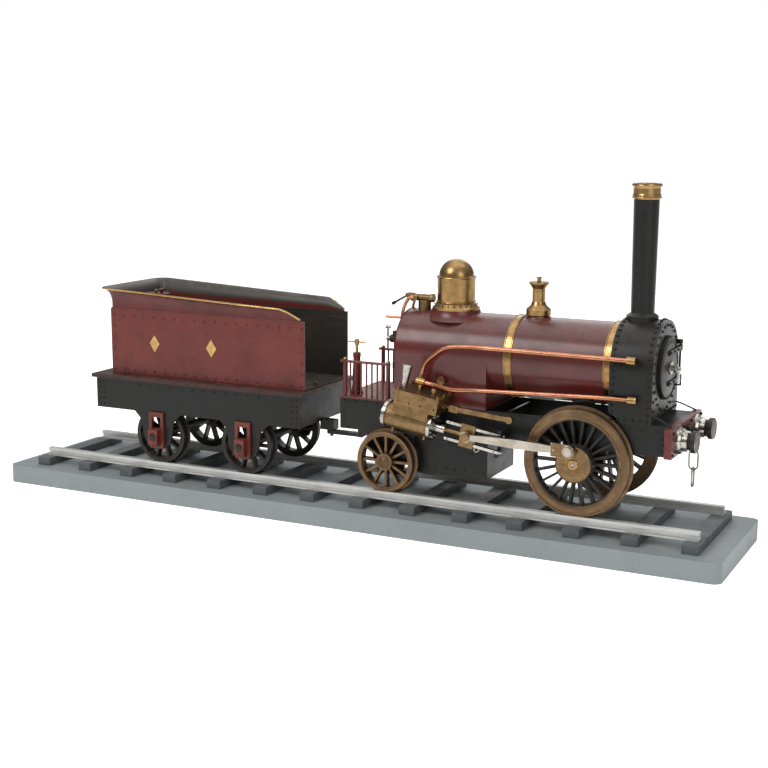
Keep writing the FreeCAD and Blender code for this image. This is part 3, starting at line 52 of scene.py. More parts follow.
class Body(str, Enum):
    """The bodies of the model that pieces ride on."""

    TRACK = "track"
    ENGINE = "engine"
    TENDER = "tender"
    DRIVERS = "driving_wheelset"
    TRAILERS = "trailing_wheels"
    RIGHT_ROD = "right_rod"
    LEFT_ROD = "left_rod"
    RIGHT_MOTION = "right_motion"
    LEFT_MOTION = "left_motion"
    DOOR = "door"
    LID = "tender_lid"
    FRONT_WHEELS = "tender_front_wheels"
    REAR_WHEELS = "tender_rear_wheels"
    RIGHT_BUFFER = "right_buffer"
    LEFT_BUFFER = "left_buffer"


TENDER_AXLES, CARRYING_AXLE_Z = (-146.0, -297.0), 93.5
BUFFERS = ((-1, Body.RIGHT_BUFFER), (1, Body.LEFT_BUFFER))
RODS = ((-1, Body.RIGHT_ROD), (1, Body.LEFT_ROD))
MOTIONS = ((-1, Body.RIGHT_MOTION), (1, Body.LEFT_MOTION))


# ---------------------------------------------------------------- shader groups


def shader_group(name: str, inputs: Sequence[tuple], outputs: Sequence[tuple]) -> tuple:
    """Starts a shader node group.

    Args:
        name: The group's name.
        inputs: Triples of socket name, socket type and default value.
        outputs: Pairs of socket name and socket type.

    Returns:
        The tree, its input node and its output node.
    """
    tree = bpy.data.node_groups.new(name, "ShaderNodeTree")
    for label, kind, value in inputs:
        socket = tree.interface.new_socket(label, in_out="INPUT", socket_type=kind)
        if value is not None:
            socket.default_value = value
    for label, kind in outputs:
        tree.interface.new_socket(label, in_out="OUTPUT", socket_type=kind)
    return tree, tree.nodes.new("NodeGroupInput"), tree.nodes.new("NodeGroupOutput")


def connect(tree: bpy.types.NodeTree, socket: bpy.types.NodeSocket, value: Value) -> None:
    """Links an output to an input socket, or sets the input to a number.

    Args:
        tree: The node tree.
        socket: The input.
        value: An output socket or a number.
    """
    if isinstance(value, (int, float)):
        socket.default_value = value
    else:
        tree.links.new(value, socket)


def maths(tree: bpy.types.NodeTree, operation: str, *values: Value,
          clamp: bool = False) -> bpy.types.NodeSocket:
    """Adds a Math node whose inputs are sockets or numbers.

    Args:
        tree: The node tree.
        operation: The Math node's operation.
        values: Its inputs in order.
        clamp: Whether the result is kept from 0 to 1.

    Returns:
        The node's output socket.
    """
    node = tree.nodes.new("ShaderNodeMath")
    node.operation, node.use_clamp = operation, clamp
    for socket, value in zip(node.inputs, values):
        connect(tree, socket, value)
    return node.outputs[0]


def ramp(tree: bpy.types.NodeTree, value: bpy.types.NodeSocket, low: Value, high: Value,
         to_low: float = 0.0, to_high: float = 1.0) -> bpy.types.NodeSocket:
    """Adds a clamped, smooth Map Range node.

    Args:
        tree: The node tree.
        value: The value to map.
        low: Where the range starts.
        high: Where it ends.
        to_low: What low becomes.
        to_high: What high becomes.

    Returns:
        The node's output socket.
    """
    node = tree.nodes.new("ShaderNodeMapRange")
    node.interpolation_type = "SMOOTHSTEP"
    for label, item in (("From Min", low), ("From Max", high), ("To Min", to_low), ("To Max", to_high)):
        connect(tree, node.inputs[label], item)
    tree.links.new(value, node.inputs["Value"])
    return node.outputs["Result"]


def noise(tree: bpy.types.NodeTree, vector: bpy.types.NodeSocket, scale: Value, detail: float = 4.0,
          rough: float = 0.6) -> bpy.types.NodeSocket:
    """Adds a Noise Texture.

    Args:
        tree: The node tree.
        vector: Where the noise is read.
        scale: Its scale.
        detail: Its number of octaves.
        rough: Their roughness.

    Returns:
        The node's value socket.
    """
    node = tree.nodes.new("ShaderNodeTexNoise")
    node.inputs["Detail"].default_value = detail
    node.inputs["Roughness"].default_value = rough
    connect(tree, node.inputs["Scale"], scale)
    tree.links.new(vector, node.inputs["Vector"])
    return node.outputs[0]


def make_mottle() -> bpy.types.NodeTree:
    """Builds the group for patches of aged colour, fine grain and long rub marks.

    Returns:
        The finished group.
    """
    tree, start, end = shader_group(
        "Aged mottle",
        [("Vector", "NodeSocketVector", None), ("Patch scale", "NodeSocketFloat", 30.0),
         ("Grain scale", "NodeSocketFloat", 600.0), ("Contrast", "NodeSocketFloat", 0.5)],
        [("Patches", "NodeSocketFloat"), ("Grain", "NodeSocketFloat"), ("Rubs", "NodeSocketFloat")])
    out = start.outputs
    broad = noise(tree, out["Vector"], out["Patch scale"], 5.0, 0.65)
    fine = noise(tree, out["Vector"], maths(tree, "MULTIPLY", out["Patch scale"], 5.0), 4.0, 0.7)
    both = maths(tree, "ADD", maths(tree, "MULTIPLY", broad, 0.65), maths(tree, "MULTIPLY", fine, 0.35))
    low = maths(tree, "SUBTRACT", 0.5, maths(tree, "MULTIPLY", out["Contrast"], 0.2))
    high = maths(tree, "ADD", 0.56, maths(tree, "MULTIPLY", out["Contrast"], 0.2))
    tree.links.new(ramp(tree, both, low, high), end.inputs["Patches"])
    tree.links.new(noise(tree, out["Vector"], out["Grain scale"], 3.0, 0.6), end.inputs["Grain"])
    stretch = tree.nodes.new("ShaderNodeMapping")
    stretch.inputs["Scale"].default_value = (12.0, 260.0, 260.0)
    tree.links.new(out["Vector"], stretch.inputs["Vector"])
    tree.links.new(ramp(tree, noise(tree, stretch.outputs[0], 1.0, 3.0), 0.6, 0.72), end.inputs["Rubs"])
    return tree


def make_edges() -> bpy.types.NodeTree:
    """Builds the group that finds worn edges, broken up by noise.

    Returns:
        The finished group.
    """
    tree, start, end = shader_group(
        "Edge wear",
        [("Vector", "NodeSocketVector", None), ("Width", "NodeSocketFloat", 0.0008),
         ("Amount", "NodeSocketFloat", 0.5)],
        [("Mask", "NodeSocketFloat")])
    bevel = tree.nodes.new("ShaderNodeBevel")
    bevel.samples = 3
    tree.links.new(start.outputs["Width"], bevel.inputs["Radius"])
    geometry = tree.nodes.new("ShaderNodeNewGeometry")
    dot = tree.nodes.new("ShaderNodeVectorMath")
    dot.operation = "DOT_PRODUCT"
    tree.links.new(bevel.outputs[0], dot.inputs[0])
    tree.links.new(geometry.outputs["Normal"], dot.inputs[1])
    sharp = ramp(tree, dot.outputs["Value"], 0.985, 0.86)
    broken = ramp(tree, noise(tree, start.outputs["Vector"], 160.0, 4.0, 0.7), 0.42, 0.6)
    both = maths(tree, "MULTIPLY", sharp, broken)
    mask = maths(tree, "MULTIPLY", both, start.outputs["Amount"], clamp=True)
    tree.links.new(mask, end.inputs["Mask"])
    return tree


def make_dust() -> bpy.types.NodeTree:
    """Builds the group for dust that settles on faces that look up.

    Returns:
        The finished group.
    """
    tree, start, end = shader_group(
        "Settled dust",
        [("Vector", "NodeSocketVector", None), ("Facing", "NodeSocketVector", None),
         ("Amount", "NodeSocketFloat", 0.3)],
        [("Mask", "NodeSocketFloat")])
    split = tree.nodes.new("ShaderNodeSeparateXYZ")
    tree.links.new(start.outputs["Facing"], split.inputs[0])
    upward = ramp(tree, split.outputs["Z"], 0.25, 0.95)
    clumps = ramp(tree, noise(tree, start.outputs["Vector"], 55.0, 6.0, 0.75), 0.3, 0.75)
    both = maths(tree, "MULTIPLY", upward, clumps)
    mask = maths(tree, "MULTIPLY", both, start.outputs["Amount"], clamp=True)
    tree.links.new(mask, end.inputs["Mask"])
    return tree


# ---------------------------------------------------------------- finishes

# The tank's inner faces, in metres, and how far a face of the flare looks up to count as inside.
TANK_INSIDE_X, TANK_INSIDE_Y, TANK_INSIDE_Z = -0.3862, 0.065, 0.1796
FLARE_FACING_UP = 0.12
WEAR_WIDTH, BUMP_DEPTH = 0.0009, 0.0006


class Zone(Enum):
    """Where a second paint covers part of a piece."""

    NONE = "none"
    INSIDE_TANK = "inside_tank"
    INSIDE_FLARE = "inside_flare"


@dataclass(frozen=True)
class Finish:
    """One finish: its colours, its gloss and how it has aged."""

    name: str
    colour: Colour
    tint: Colour
    metal: float = 0.0
    gloss: tuple[float, float] = (0.3, 0.5)
    patch: float = 32.0
    contrast: float = 0.5
    grain: float = 650.0
    relief: float = 0.12
    wear: Colour = (0.2, 0.15, 0.1)
    wear_amount: float = 0.3
    dust: float = 0.2
    dust_colour: Colour = (0.32, 0.28, 0.24)
    coat: float = 0.0
    rubs: float = 0.0
    glint: float = 0.5
    zone: Zone = Zone.NONE
    zone_colour: Colour = (0.05, 0.042, 0.036)

    def build(self, groups: Groups) -> bpy.types.Material:
        """Builds the material.

        Args:
            groups: The shared shader groups by name.

        Returns:
            The material.
        """
        material = bpy.data.materials.new(self.name)
        material.use_nodes = True
        tree = material.node_tree
        shader = tree.nodes["Principled BSDF"]
        place = tree.nodes.new("ShaderNodeTexCoord")
        vector, facing = place.outputs["Object"], place.outputs["Normal"]
        mottle = self._group(tree, groups["mottle"], {"Vector": vector, "Patch scale": self.patch,
                                                      "Grain scale": self.grain, "Contrast": self.contrast})
        edges = self._group(tree, groups["edges"], {"Vector": vector, "Width": WEAR_WIDTH,
                                                    "Amount": self.wear_amount})
        dust = self._group(tree, groups["dust"], {"Vector": vector, "Facing": facing, "Amount": self.dust})
        colour = self._mix(tree, mottle.outputs["Patches"], self.colour, self.tint)
        if self.zone is not Zone.NONE:
            colour = self._mix(tree, self._zone_mask(tree, vector, facing), colour, self.zone_colour)
        if self.rubs:
            marks = maths(tree, "MULTIPLY", mottle.outputs["Rubs"], self.rubs)
            colour = self._mix(tree, marks, colour, self.wear)
        colour = self._mix(tree, edges.outputs["Mask"], colour, self.wear)
        colour = self._mix(tree, dust.outputs["Mask"], colour, self.dust_colour)
        tree.links.new(colour, shader.inputs["Base Color"])
        for label, value in (("Metallic", self.metal), ("Specular IOR Level", self.glint),
                             ("Coat Weight", self.coat), ("Coat Roughness", 0.18)):
            shader.inputs[label].default_value = value
        gloss = ramp(tree, mottle.outputs["Patches"], 0.0, 1.0, self.gloss[0], self.gloss[1])
        gloss = maths(tree, "ADD", gloss, maths(tree, "MULTIPLY", dust.outputs["Mask"], 0.35), clamp=True)
        tree.links.new(gloss, shader.inputs["Roughness"])
        bump = tree.nodes.new("ShaderNodeBump")
        bump.inputs["Strength"].default_value = self.relief
        bump.inputs["Distance"].default_value = BUMP_DEPTH
        height = maths(tree, "ADD", mottle.outputs["Grain"],
                       maths(tree, "MULTIPLY", mottle.outputs["Patches"], 0.35))
        tree.links.new(height, bump.inputs["Height"])
        tree.links.new(bump.outputs[0], shader.inputs["Normal"])
        material.diffuse_color = (*self.colour, 1.0)
        return material

    @staticmethod
    def _group(tree: bpy.types.NodeTree, group: bpy.types.NodeTree,
               values: dict[str, Value]) -> bpy.types.Node:
        """Places a shared group with its own values.

        Args:
            tree: The material's node tree.
            group: The shared group.
            values: A socket or a number for each input name.

        Returns:
            The node.
        """
        node = tree.nodes.new("ShaderNodeGroup")
        node.node_tree = group
        for label, value in values.items():
            connect(tree, node.inputs[label], value)
        return node

    @staticmethod
    def _mix(tree: bpy.types.NodeTree, factor: bpy.types.NodeSocket, first: bpy.types.NodeSocket | Colour,
             second: bpy.types.NodeSocket | Colour) -> bpy.types.NodeSocket:
        """Mixes two colours.

        Args:
            tree: The material's node tree.
            factor: How much of the second shows.
            first: A socket or three numbers.
            second: A socket or three numbers.

        Returns:
            The output socket.
        """
        node = tree.nodes.new("ShaderNodeMix")
        node.data_type = "RGBA"
        tree.links.new(factor, node.inputs["Factor"])
        for socket, value in ((node.inputs[6], first), (node.inputs[7], second)):
            if isinstance(value, tuple):
                socket.default_value = (*value, 1.0)
            else:
                tree.links.new(value, socket)
        return node.outputs[2]

    def _zone_mask(self, tree: bpy.types.NodeTree, vector: bpy.types.NodeSocket,
                   facing: bpy.types.NodeSocket) -> bpy.types.NodeSocket:
        """Makes a mask that is 1 where the second paint lies.

        Args:
            tree: The material's node tree.
            vector: The place on the piece.
            facing: The surface's direction.

        Returns:
            The mask's socket.
        """
        inside_flare = self.zone is Zone.INSIDE_FLARE
        split = tree.nodes.new("ShaderNodeSeparateXYZ")
        tree.links.new(facing if inside_flare else vector, split.inputs[0])
        if inside_flare:
            return maths(tree, "GREATER_THAN", split.outputs["Z"], FLARE_FACING_UP)
        across = maths(tree, "LESS_THAN", maths(tree, "ABSOLUTE", split.outputs["Y"]), TANK_INSIDE_Y)
        ahead = maths(tree, "GREATER_THAN", split.outputs["X"], TANK_INSIDE_X)
        above = maths(tree, "GREATER_THAN", split.outputs["Z"], TANK_INSIDE_Z)
        return maths(tree, "MULTIPLY", maths(tree, "MULTIPLY", across, ahead), above)


MAROON_PAINT: Colour = (0.098, 0.0125, 0.0105)
MAROON_DARK: Colour = (0.048, 0.0095, 0.008)
BARE_PAINT: Colour = (0.24, 0.105, 0.07)

FINISHES = {
    finish.name: finish for finish in (
        Finish("plinth_grey", (0.205, 0.228, 0.232), (0.185, 0.207, 0.212), gloss=(0.5, 0.6), patch=9.0,
               grain=420.0, relief=0.06, wear=(0.34, 0.36, 0.36), wear_amount=0.35, dust=0.06,
               dust_colour=(0.4, 0.41, 0.41), glint=0.35),
        Finish("sleeper_grey", (0.095, 0.103, 0.107), (0.075, 0.083, 0.087), gloss=(0.5, 0.65), grain=500.0,
               wear=(0.25, 0.26, 0.26), dust=0.1, glint=0.3),
        Finish("rail_metal", (0.52, 0.52, 0.505), (0.46, 0.455, 0.44), metal=0.5, gloss=(0.36, 0.42),
               patch=10.0, wear=(0.8, 0.8, 0.79), dust=0.03, rubs=0.04, relief=0.03),
        Finish("maroon_boiler", MAROON_PAINT, MAROON_DARK, gloss=(0.27, 0.4), patch=14.0, contrast=1.0,
               wear=BARE_PAINT, wear_amount=0.25, dust=0.1, coat=0.25, rubs=0.04, relief=0.1, glint=0.35),
        Finish("maroon_tank", (0.125, 0.0175, 0.0125), (0.07, 0.0135, 0.01), gloss=(0.36, 0.55), patch=20.0,
               contrast=1.0, wear=BARE_PAINT, wear_amount=0.5, dust=0.14, coat=0.06, rubs=0.14,
               relief=0.22, glint=0.3, zone=Zone.INSIDE_TANK, zone_colour=(0.022, 0.019, 0.016)),
        Finish("maroon_flare", (0.10, 0.015, 0.011), (0.055, 0.012, 0.009), gloss=(0.36, 0.52), patch=22.0,
               contrast=0.9, wear=BARE_PAINT, wear_amount=0.4, dust=0.2, coat=0.06, relief=0.22, glint=0.3,
               zone=Zone.INSIDE_FLARE, zone_colour=(0.04, 0.034, 0.029)),
        Finish("maroon_trim", (0.115, 0.017, 0.0135), (0.062, 0.0125, 0.01), gloss=(0.34, 0.5), patch=60.0,
               wear=BARE_PAINT, wear_amount=0.6, dust=0.16, coat=0.08, relief=0.16, glint=0.3),
        Finish("maroon_deck", (0.035, 0.0105, 0.0085), (0.018, 0.0115, 0.0095), gloss=(0.4, 0.55), patch=40.0,
               wear=(0.2, 0.08, 0.05), wear_amount=0.7, dust=0.22, relief=0.2, glint=0.3),
        Finish("red_trim", (0.135, 0.022, 0.016), (0.065, 0.0135, 0.0105), gloss=(0.36, 0.52), patch=80.0,
               wear=(0.28, 0.14, 0.085), wear_amount=0.7, dust=0.2, relief=0.2, glint=0.3),
        Finish("black_satin", (0.005, 0.0056, 0.0053), (0.0115, 0.0105, 0.0085), gloss=(0.3, 0.46),
               patch=26.0, contrast=0.8, wear=(0.085, 0.062, 0.045), wear_amount=0.45, dust=0.08,
               relief=0.2, glint=0.24),
        Finish("black_iron", (0.008, 0.0072, 0.0066), (0.022, 0.0145, 0.0095), gloss=(0.38, 0.55), patch=60.0,
               wear=(0.13, 0.08, 0.05), wear_amount=0.5, dust=0.14, relief=0.25, glint=0.3),
        Finish("aged_brass", (0.375, 0.235, 0.095), (0.18, 0.105, 0.042), metal=1.0, gloss=(0.22, 0.42),
               patch=36.0, contrast=1.0, wear=(0.7, 0.48, 0.21), wear_amount=0.5, dust=0.08, relief=0.12),
        Finish("dull_brass", (0.235, 0.15, 0.068), (0.1, 0.06, 0.028), metal=0.95, gloss=(0.3, 0.5),
               patch=50.0, contrast=1.0, wear=(0.6, 0.41, 0.18), wear_amount=0.6, dust=0.12, relief=0.22),
        Finish("wheel_bronze", (0.165, 0.1, 0.05), (0.085, 0.05, 0.028), metal=0.8, gloss=(0.32, 0.5),
               patch=45.0, contrast=0.9, wear=(0.4, 0.27, 0.14), wear_amount=0.5, dust=0.1, relief=0.2),
        Finish("aged_copper", (0.44, 0.18, 0.1), (0.24, 0.105, 0.058), metal=1.0, gloss=(0.22, 0.38),
               patch=34.0, contrast=1.0, wear=(0.78, 0.42, 0.26), wear_amount=0.3, dust=0.06, relief=0.1),
        Finish("worn_steel", (0.31, 0.285, 0.25), (0.16, 0.138, 0.11), metal=1.0, gloss=(0.26, 0.44),
               patch=45.0, contrast=0.8, wear=(0.7, 0.67, 0.62), wear_amount=0.4, dust=0.08, rubs=0.15,
               relief=0.12),
        Finish("rod_steel", (0.41, 0.365, 0.31), (0.28, 0.24, 0.19), metal=1.0, gloss=(0.24, 0.36),
               patch=40.0, contrast=0.8, wear=(0.8, 0.75, 0.68), wear_amount=0.4, dust=0.05, relief=0.08),
        Finish("bright_steel", (0.44, 0.42, 0.39), (0.26, 0.24, 0.21), metal=1.0, gloss=(0.16, 0.32),
               patch=50.0, contrast=0.8, wear=(0.85, 0.84, 0.82), wear_amount=0.4, dust=0.05, relief=0.08),
        Finish("gilt", (0.52, 0.34, 0.125), (0.34, 0.2, 0.075), metal=0.9, gloss=(0.3, 0.45), patch=90.0,
               wear=(0.72, 0.52, 0.24), wear_amount=0.3, dust=0.08, relief=0.12),
    )
}

SLOT_FINISH = {
    "plinth_paint": "plinth_grey", "sleeper_paint": "sleeper_grey", "rail_alloy": "rail_metal",
    "maroon": "maroon_trim", "black_paint": "black_satin", "black_iron": "black_iron", "brass": "aged_brass",
    "bronze": "dull_brass", "copper": "aged_copper", "steel": "worn_steel",
}
NODE_FINISH = {
    "boiler_shell": "maroon_boiler", "tender_tank": "maroon_tank", "tender_coping": "maroon_flare",
    "tender_deck": "maroon_deck", "tender_axle_guards": "red_trim", "buffer_beam": "maroon_trim",
    "driving_tyres": "wheel_bronze", "trailing_wheelset": "wheel_bronze", "buffer_stocks": "bright_steel",
    "slide_bars": "bright_steel", "oil_cups": "bright_steel", "turret": "dull_brass",
    "right_connecting_rod": "rod_steel", "left_connecting_rod": "rod_steel",
    "door_dart": "bright_steel", "cylinder_covers": "bright_steel", "brake_handle": "aged_brass",
    "footplate": "maroon_trim", "coupling_hook": "black_iron",
}


class FinishBook:
    """All the materials, built once from the shared shader groups."""

    def __init__(self) -> None:
        """Builds the shared groups and every material."""
        groups = {"mottle": make_mottle(), "edges": make_edges(), "dust": make_dust()}
        self.materials = {name: finish.build(groups) for name, finish in FINISHES.items()}

    def dress_nodes(self) -> None:
        """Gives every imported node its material."""
        log.info("dressing %d nodes", len(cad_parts))
        for name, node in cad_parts.items():
            for holder in node.material_slots:
                label = holder.material.name.split(".")[0]
                holder.material = self.materials[NODE_FINISH.get(name) or SLOT_FINISH[label]]


# ---------------------------------------------------------------- geometry trees


class Tree:
    """A Geometry Nodes tree under construction, with named inputs."""

    def __init__(self, name: str, inputs: Sequence[tuple]) -> None:
        """Starts the tree.

        Args:
            name: The tree's name.
            inputs: Triples of input name, socket type and default value.
        """
        self.tree = bpy.data.node_groups.new(name, "GeometryNodeTree")
        self.tree.interface.new_socket("Geometry", in_out="INPUT", socket_type="NodeSocketGeometry")
        for label, kind, value in inputs:
            socket = self.tree.interface.new_socket(label, in_out="INPUT", socket_type=kind)
            if value is not None:
                socket.default_value = value
        self.tree.interface.new_socket("Finish", in_out="INPUT", socket_type="NodeSocketMaterial")
        self.tree.interface.new_socket("Geometry", in_out="OUTPUT", socket_type="NodeSocketGeometry")
        self.start = self.tree.nodes.new("NodeGroupInput").outputs
        self.end = self.tree.nodes.new("NodeGroupOutput")

    def add(self, kind: str, links: dict, output: int = 0, **settings: object) -> bpy.types.NodeSocket:
        """Adds a node.

        Args:
            kind: The node's type.
            links: Input name to a socket or a constant.
            output: Which output to return.
            settings: Properties of the node.

        Returns:
            The chosen output socket.
        """
        node = self.tree.nodes.new(kind)
        for key, value in settings.items():
            setattr(node, key, value)
        for label, value in links.items():
            socket = node.inputs[label]
            if isinstance(value, bpy.types.NodeSocket):
                self.tree.links.new(value, socket)
            else:
                socket.default_value = value
        return node.outputs[output]

    def close(self, geometry: bpy.types.NodeSocket) -> bpy.types.NodeTree:
        """Realizes the instances, sets the material and ends the tree.

        Args:
            geometry: The socket that the result comes from.

        Returns:
            The finished tree.
        """
        real = self.add("GeometryNodeRealizeInstances", {"Geometry": geometry})
        done = self.add("GeometryNodeSetMaterial", {"Geometry": real, "Material": self.start["Finish"]})
        self.tree.links.new(done, self.end.inputs[0])
        return self.tree


def scatter(tree: Tree, shape: bpy.types.NodeSocket) -> bpy.types.NodeTree:
    """Puts a shape on every point, turned to the point's facing, and closes the tree.

    Args:
        tree: The tree under construction.
        shape: The socket of the shape, which stands along Z.

    Returns:
        The finished tree.
    """
    facing = tree.add("GeometryNodeInputNamedAttribute", {"Name": "facing"}, data_type="FLOAT_VECTOR")
    turn = tree.add("FunctionNodeAlignRotationToVector", {"Vector": facing}, axis="Z")
    placed = tree.add("GeometryNodeInstanceOnPoints",
                      {"Points": tree.start["Geometry"], "Instance": shape, "Rotation": turn})
    return tree.close(placed)


def make_rivets() -> bpy.types.NodeTree:
    """Builds the tree for round rivet heads.

    Returns:
        The finished tree.
    """
    tree = Tree("Rivets", [("Radius", "NodeSocketFloat", 0.0015), ("Flatness", "NodeSocketFloat", 0.7)])
    ball = tree.add("GeometryNodeMeshUVSphere", {"Segments": 10, "Rings": 6, "Radius": tree.start["Radius"]})
    scale = tree.add("ShaderNodeCombineXYZ", {"X": 1.0, "Y": 1.0, "Z": tree.start["Flatness"]})
    head = tree.add("GeometryNodeTransform", {"Geometry": ball, "Scale": scale})
    smooth = tree.add("GeometryNodeSetShadeSmooth", {"Geometry": head})
    return scatter(tree, smooth)


def make_nuts() -> bpy.types.NodeTree:
    """Builds the tree for six-sided nuts with a stud standing through them.

    Returns:
        The finished tree.
    """
    tree = Tree("Nuts", [("Radius", "NodeSocketFloat", 0.002), ("Height", "NodeSocketFloat", 0.002),
                         ("Stud", "NodeSocketFloat", 0.0012)])
    parts = []
    for sides, radius, share in ((6, tree.start["Radius"], 1.0), (10, tree.start["Stud"], 1.7)):
        depth = tree.add("ShaderNodeMath", {0: tree.start["Height"], 1: share}, operation="MULTIPLY")
        lift = tree.add("ShaderNodeMath", {0: depth, 1: 0.5}, operation="MULTIPLY")
        shift = tree.add("ShaderNodeCombineXYZ", {"Z": lift})
        post = tree.add("GeometryNodeMeshCylinder", {"Vertices": sides, "Radius": radius, "Depth": depth})
        parts.append(tree.add("GeometryNodeTransform", {"Geometry": post, "Translation": shift}))
    join = tree.tree.nodes.new("GeometryNodeJoinGeometry")
    for part in reversed(parts):
        tree.tree.links.new(part, join.inputs[0])
    flat = tree.add("GeometryNodeSetShadeSmooth", {"Geometry": join.outputs[0], "Shade Smooth": False})
    return scatter(tree, flat)


def make_sweep() -> bpy.types.NodeTree:
    """Builds the tree that sweeps a round wire along lines, rounding their corners.

    Returns:
        The finished tree.
    """
    tree = Tree("Wire", [("Radius", "NodeSocketFloat", 0.001), ("Bend", "NodeSocketFloat", 0.004)])
    curve = tree.add("GeometryNodeMeshToCurve", {"Mesh": tree.start["Geometry"]})
    rounded = tree.tree.nodes.new("GeometryNodeFilletCurve")
    rounded.mode = "POLY"
    tree.tree.links.new(curve, rounded.inputs["Curve"])
    tree.tree.links.new(tree.start["Bend"], rounded.inputs["Radius"])
    rounded.inputs["Count"].default_value = 4
    rounded.inputs["Limit Radius"].default_value = True
    ring = tree.add("GeometryNodeCurvePrimitiveCircle", {"Resolution": 12, "Radius": tree.start["Radius"]})
    tube = tree.add("GeometryNodeCurveToMesh",
                    {"Curve": rounded.outputs[0], "Profile Curve": ring, "Fill Caps": True})
    smooth = tree.add("GeometryNodeSetShadeSmooth", {"Geometry": tube})
    return tree.close(smooth)


# ---------------------------------------------------------------- makers


class Workshop:
    """Makes pieces, gives each its finish, and hangs it on its body."""

    def __init__(self, book: FinishBook) -> None:
        """Keeps the materials and builds the geometry trees.

        Args:
            book: All the materials.
        """
        self.book = book
        self.rivet_tree, self.nut_tree, self.wire_tree = make_rivets(), make_nuts(), make_sweep()

    def _grow(self, name: str, points: Sequence[Point], edges: Sequence[tuple], facings: Sequence[Point],
              tree: bpy.types.NodeTree, finish: str, sizes: dict[str, float]) -> bpy.types.Object:
        """Runs a geometry tree on points or lines.

        Args:
            name: The piece's name.
            points: Places in millimetres.
            edges: Pairs of points that a line joins.
            facings: One direction for each point, or none.
            tree: The geometry tree.
            finish: The finish's name.
            sizes: The tree's inputs by name.

        Returns:
            An object with a plain mesh.
        """
        seed = bpy.data.meshes.new(name)
        seed.from_pydata([tuple(c * MM for c in p) for p in points], list(edges), [])
        if facings:
            seed.attributes.new("facing", "FLOAT_VECTOR", "POINT")
            seed.attributes["facing"].data.foreach_set("vector", [c for f in facings for c in f])
        piece = bpy.data.objects.new(name, seed)
        bpy.context.scene.collection.objects.link(piece)
        modifier = piece.modifiers.new("grow", "NODES")
        modifier.node_group = tree
        for item in tree.interface.items_tree:
            if item.item_type == "SOCKET" and item.in_out == "INPUT":
                if item.name in sizes:
                    modifier[item.identifier] = sizes[item.name]
                elif item.name == "Finish":
                    modifier[item.identifier] = self.book.materials[finish]
        bpy.context.view_layer.update()
        graph = bpy.context.evaluated_depsgraph_get()
        mesh = bpy.data.meshes.new_from_object(piece.evaluated_get(graph))
        piece.modifiers.clear()
        piece.data = mesh
        return piece

    @staticmethod
    def _hang(piece: bpy.types.Object, body: Body, finish: str) -> bpy.types.Object:
        """Rides a finished piece on its body.

        Args:
            piece: The piece.
            body: The body that it rides on.
            finish: The finish's name; not used.

        Returns:
            The piece.
        """
        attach(piece, body.value)
        log.info("%s on %s, %d faces", piece.name, body.value, len(piece.data.polygons))
        return piece

    def rivets(self, name: str, body: Body, spots: Sequence[Spot], finish: str,
               radius: float = 1.5, flatness: float = 0.7) -> bpy.types.Object:
        """Makes a set of rivet heads.

        Args:
            name: The piece's name.
            body: The body that it rides on.
            spots: Pairs of a place in millimetres and a facing.
            finish: The finish's name.
            radius: A head's radius in millimetres.
            flatness: Its height as a share of its radius.

        Returns:
            The piece.
        """
        places, facings = zip(*spots)
        piece = self._grow(name, places, [], facings, self.rivet_tree, finish,
                           {"Radius": radius * MM, "Flatness": flatness})
        return self._hang(piece, body, finish)

    def nuts(self, name: str, body: Body, spots: Sequence[Spot], finish: str,
             radius: float = 2.2, height: float = 1.8, stud: float = 1.1) -> bpy.types.Object:
        """Makes a set of nuts on studs.

        Args:
            name: The piece's name.
            body: The body that it rides on.
            spots: Pairs of a place in millimetres and a facing.
            finish: The finish's name.
            radius: A nut's radius over its corners.
            height: Its height.
            stud: The stud's radius.

        Returns:
            The piece.
        """
        places, facings = zip(*spots)
        piece = self._grow(name, places, [], facings, self.nut_tree, finish,
                           {"Radius": radius * MM, "Height": height * MM, "Stud": stud * MM})
        return self._hang(piece, body, finish)

    def wires(self, name: str, body: Body, lines: Sequence[Sequence[Point]], finish: str,
              radius: float, bend: float = 4.0) -> bpy.types.Object:
        """Sweeps a round wire along lines.

        Args:
            name: The piece's name.
            body: The body that it rides on.
            lines: Each line's points in millimetres.
            finish: The finish's name.
            radius: The wire's radius in millimetres.
            bend: The radius of its bends in millimetres.

        Returns:
            The piece.
        """
        points: list[Point] = []
        edges: list[tuple[int, int]] = []
        for line in lines:
            first = len(points)
            points.extend(line)
            edges.extend((first + i, first + i + 1) for i in range(len(line) - 1))
        piece = self._grow(name, points, edges, [], self.wire_tree, finish,
                           {"Radius": radius * MM, "Bend": bend * MM})
        return self._hang(piece, body, finish)

    def turned(self, name: str, body: Body, shapes: Sequence[tuple], finish: str,
               sides: int = 40) -> bpy.types.Object:
        """Makes turned shapes that are one piece.

        Args:
            name: The piece's name.
            body: The body that it rides on.
            shapes: Triples of a centre, an axis and an outline of (radius, height) pairs, in millimetres.
                Each outline runs from the axis or round a ring, and is closed.
            finish: The finish's name.
            sides: Steps in a turn.

        Returns:
            The piece.
        """
        points: list[Vector] = []
        faces: list[tuple[int, ...]] = []
        for centre, axis, outline in shapes:
            along = Vector(axis).normalized()
            side = along.orthogonal().normalized()
            other = along.cross(side)
            first, count = len(points), len(outline)
            for step in range(sides):
                turn = 2 * math.pi * step / sides
                out = side * math.cos(turn) + other * math.sin(turn)
                points.extend(Vector(centre) + out * r + along * h for r, h in outline)
            ring = count if outline[0][0] > 1e-6 else count - 1
            for step in range(sides):
                here, there = first + step * count, first + (step + 1) % sides * count
                faces.extend((here + i, there + i, there + (i + 1) % count, here + (i + 1) % count)
                             for i in range(ring))
        return self._solid(name, body, points, faces, finish, True)

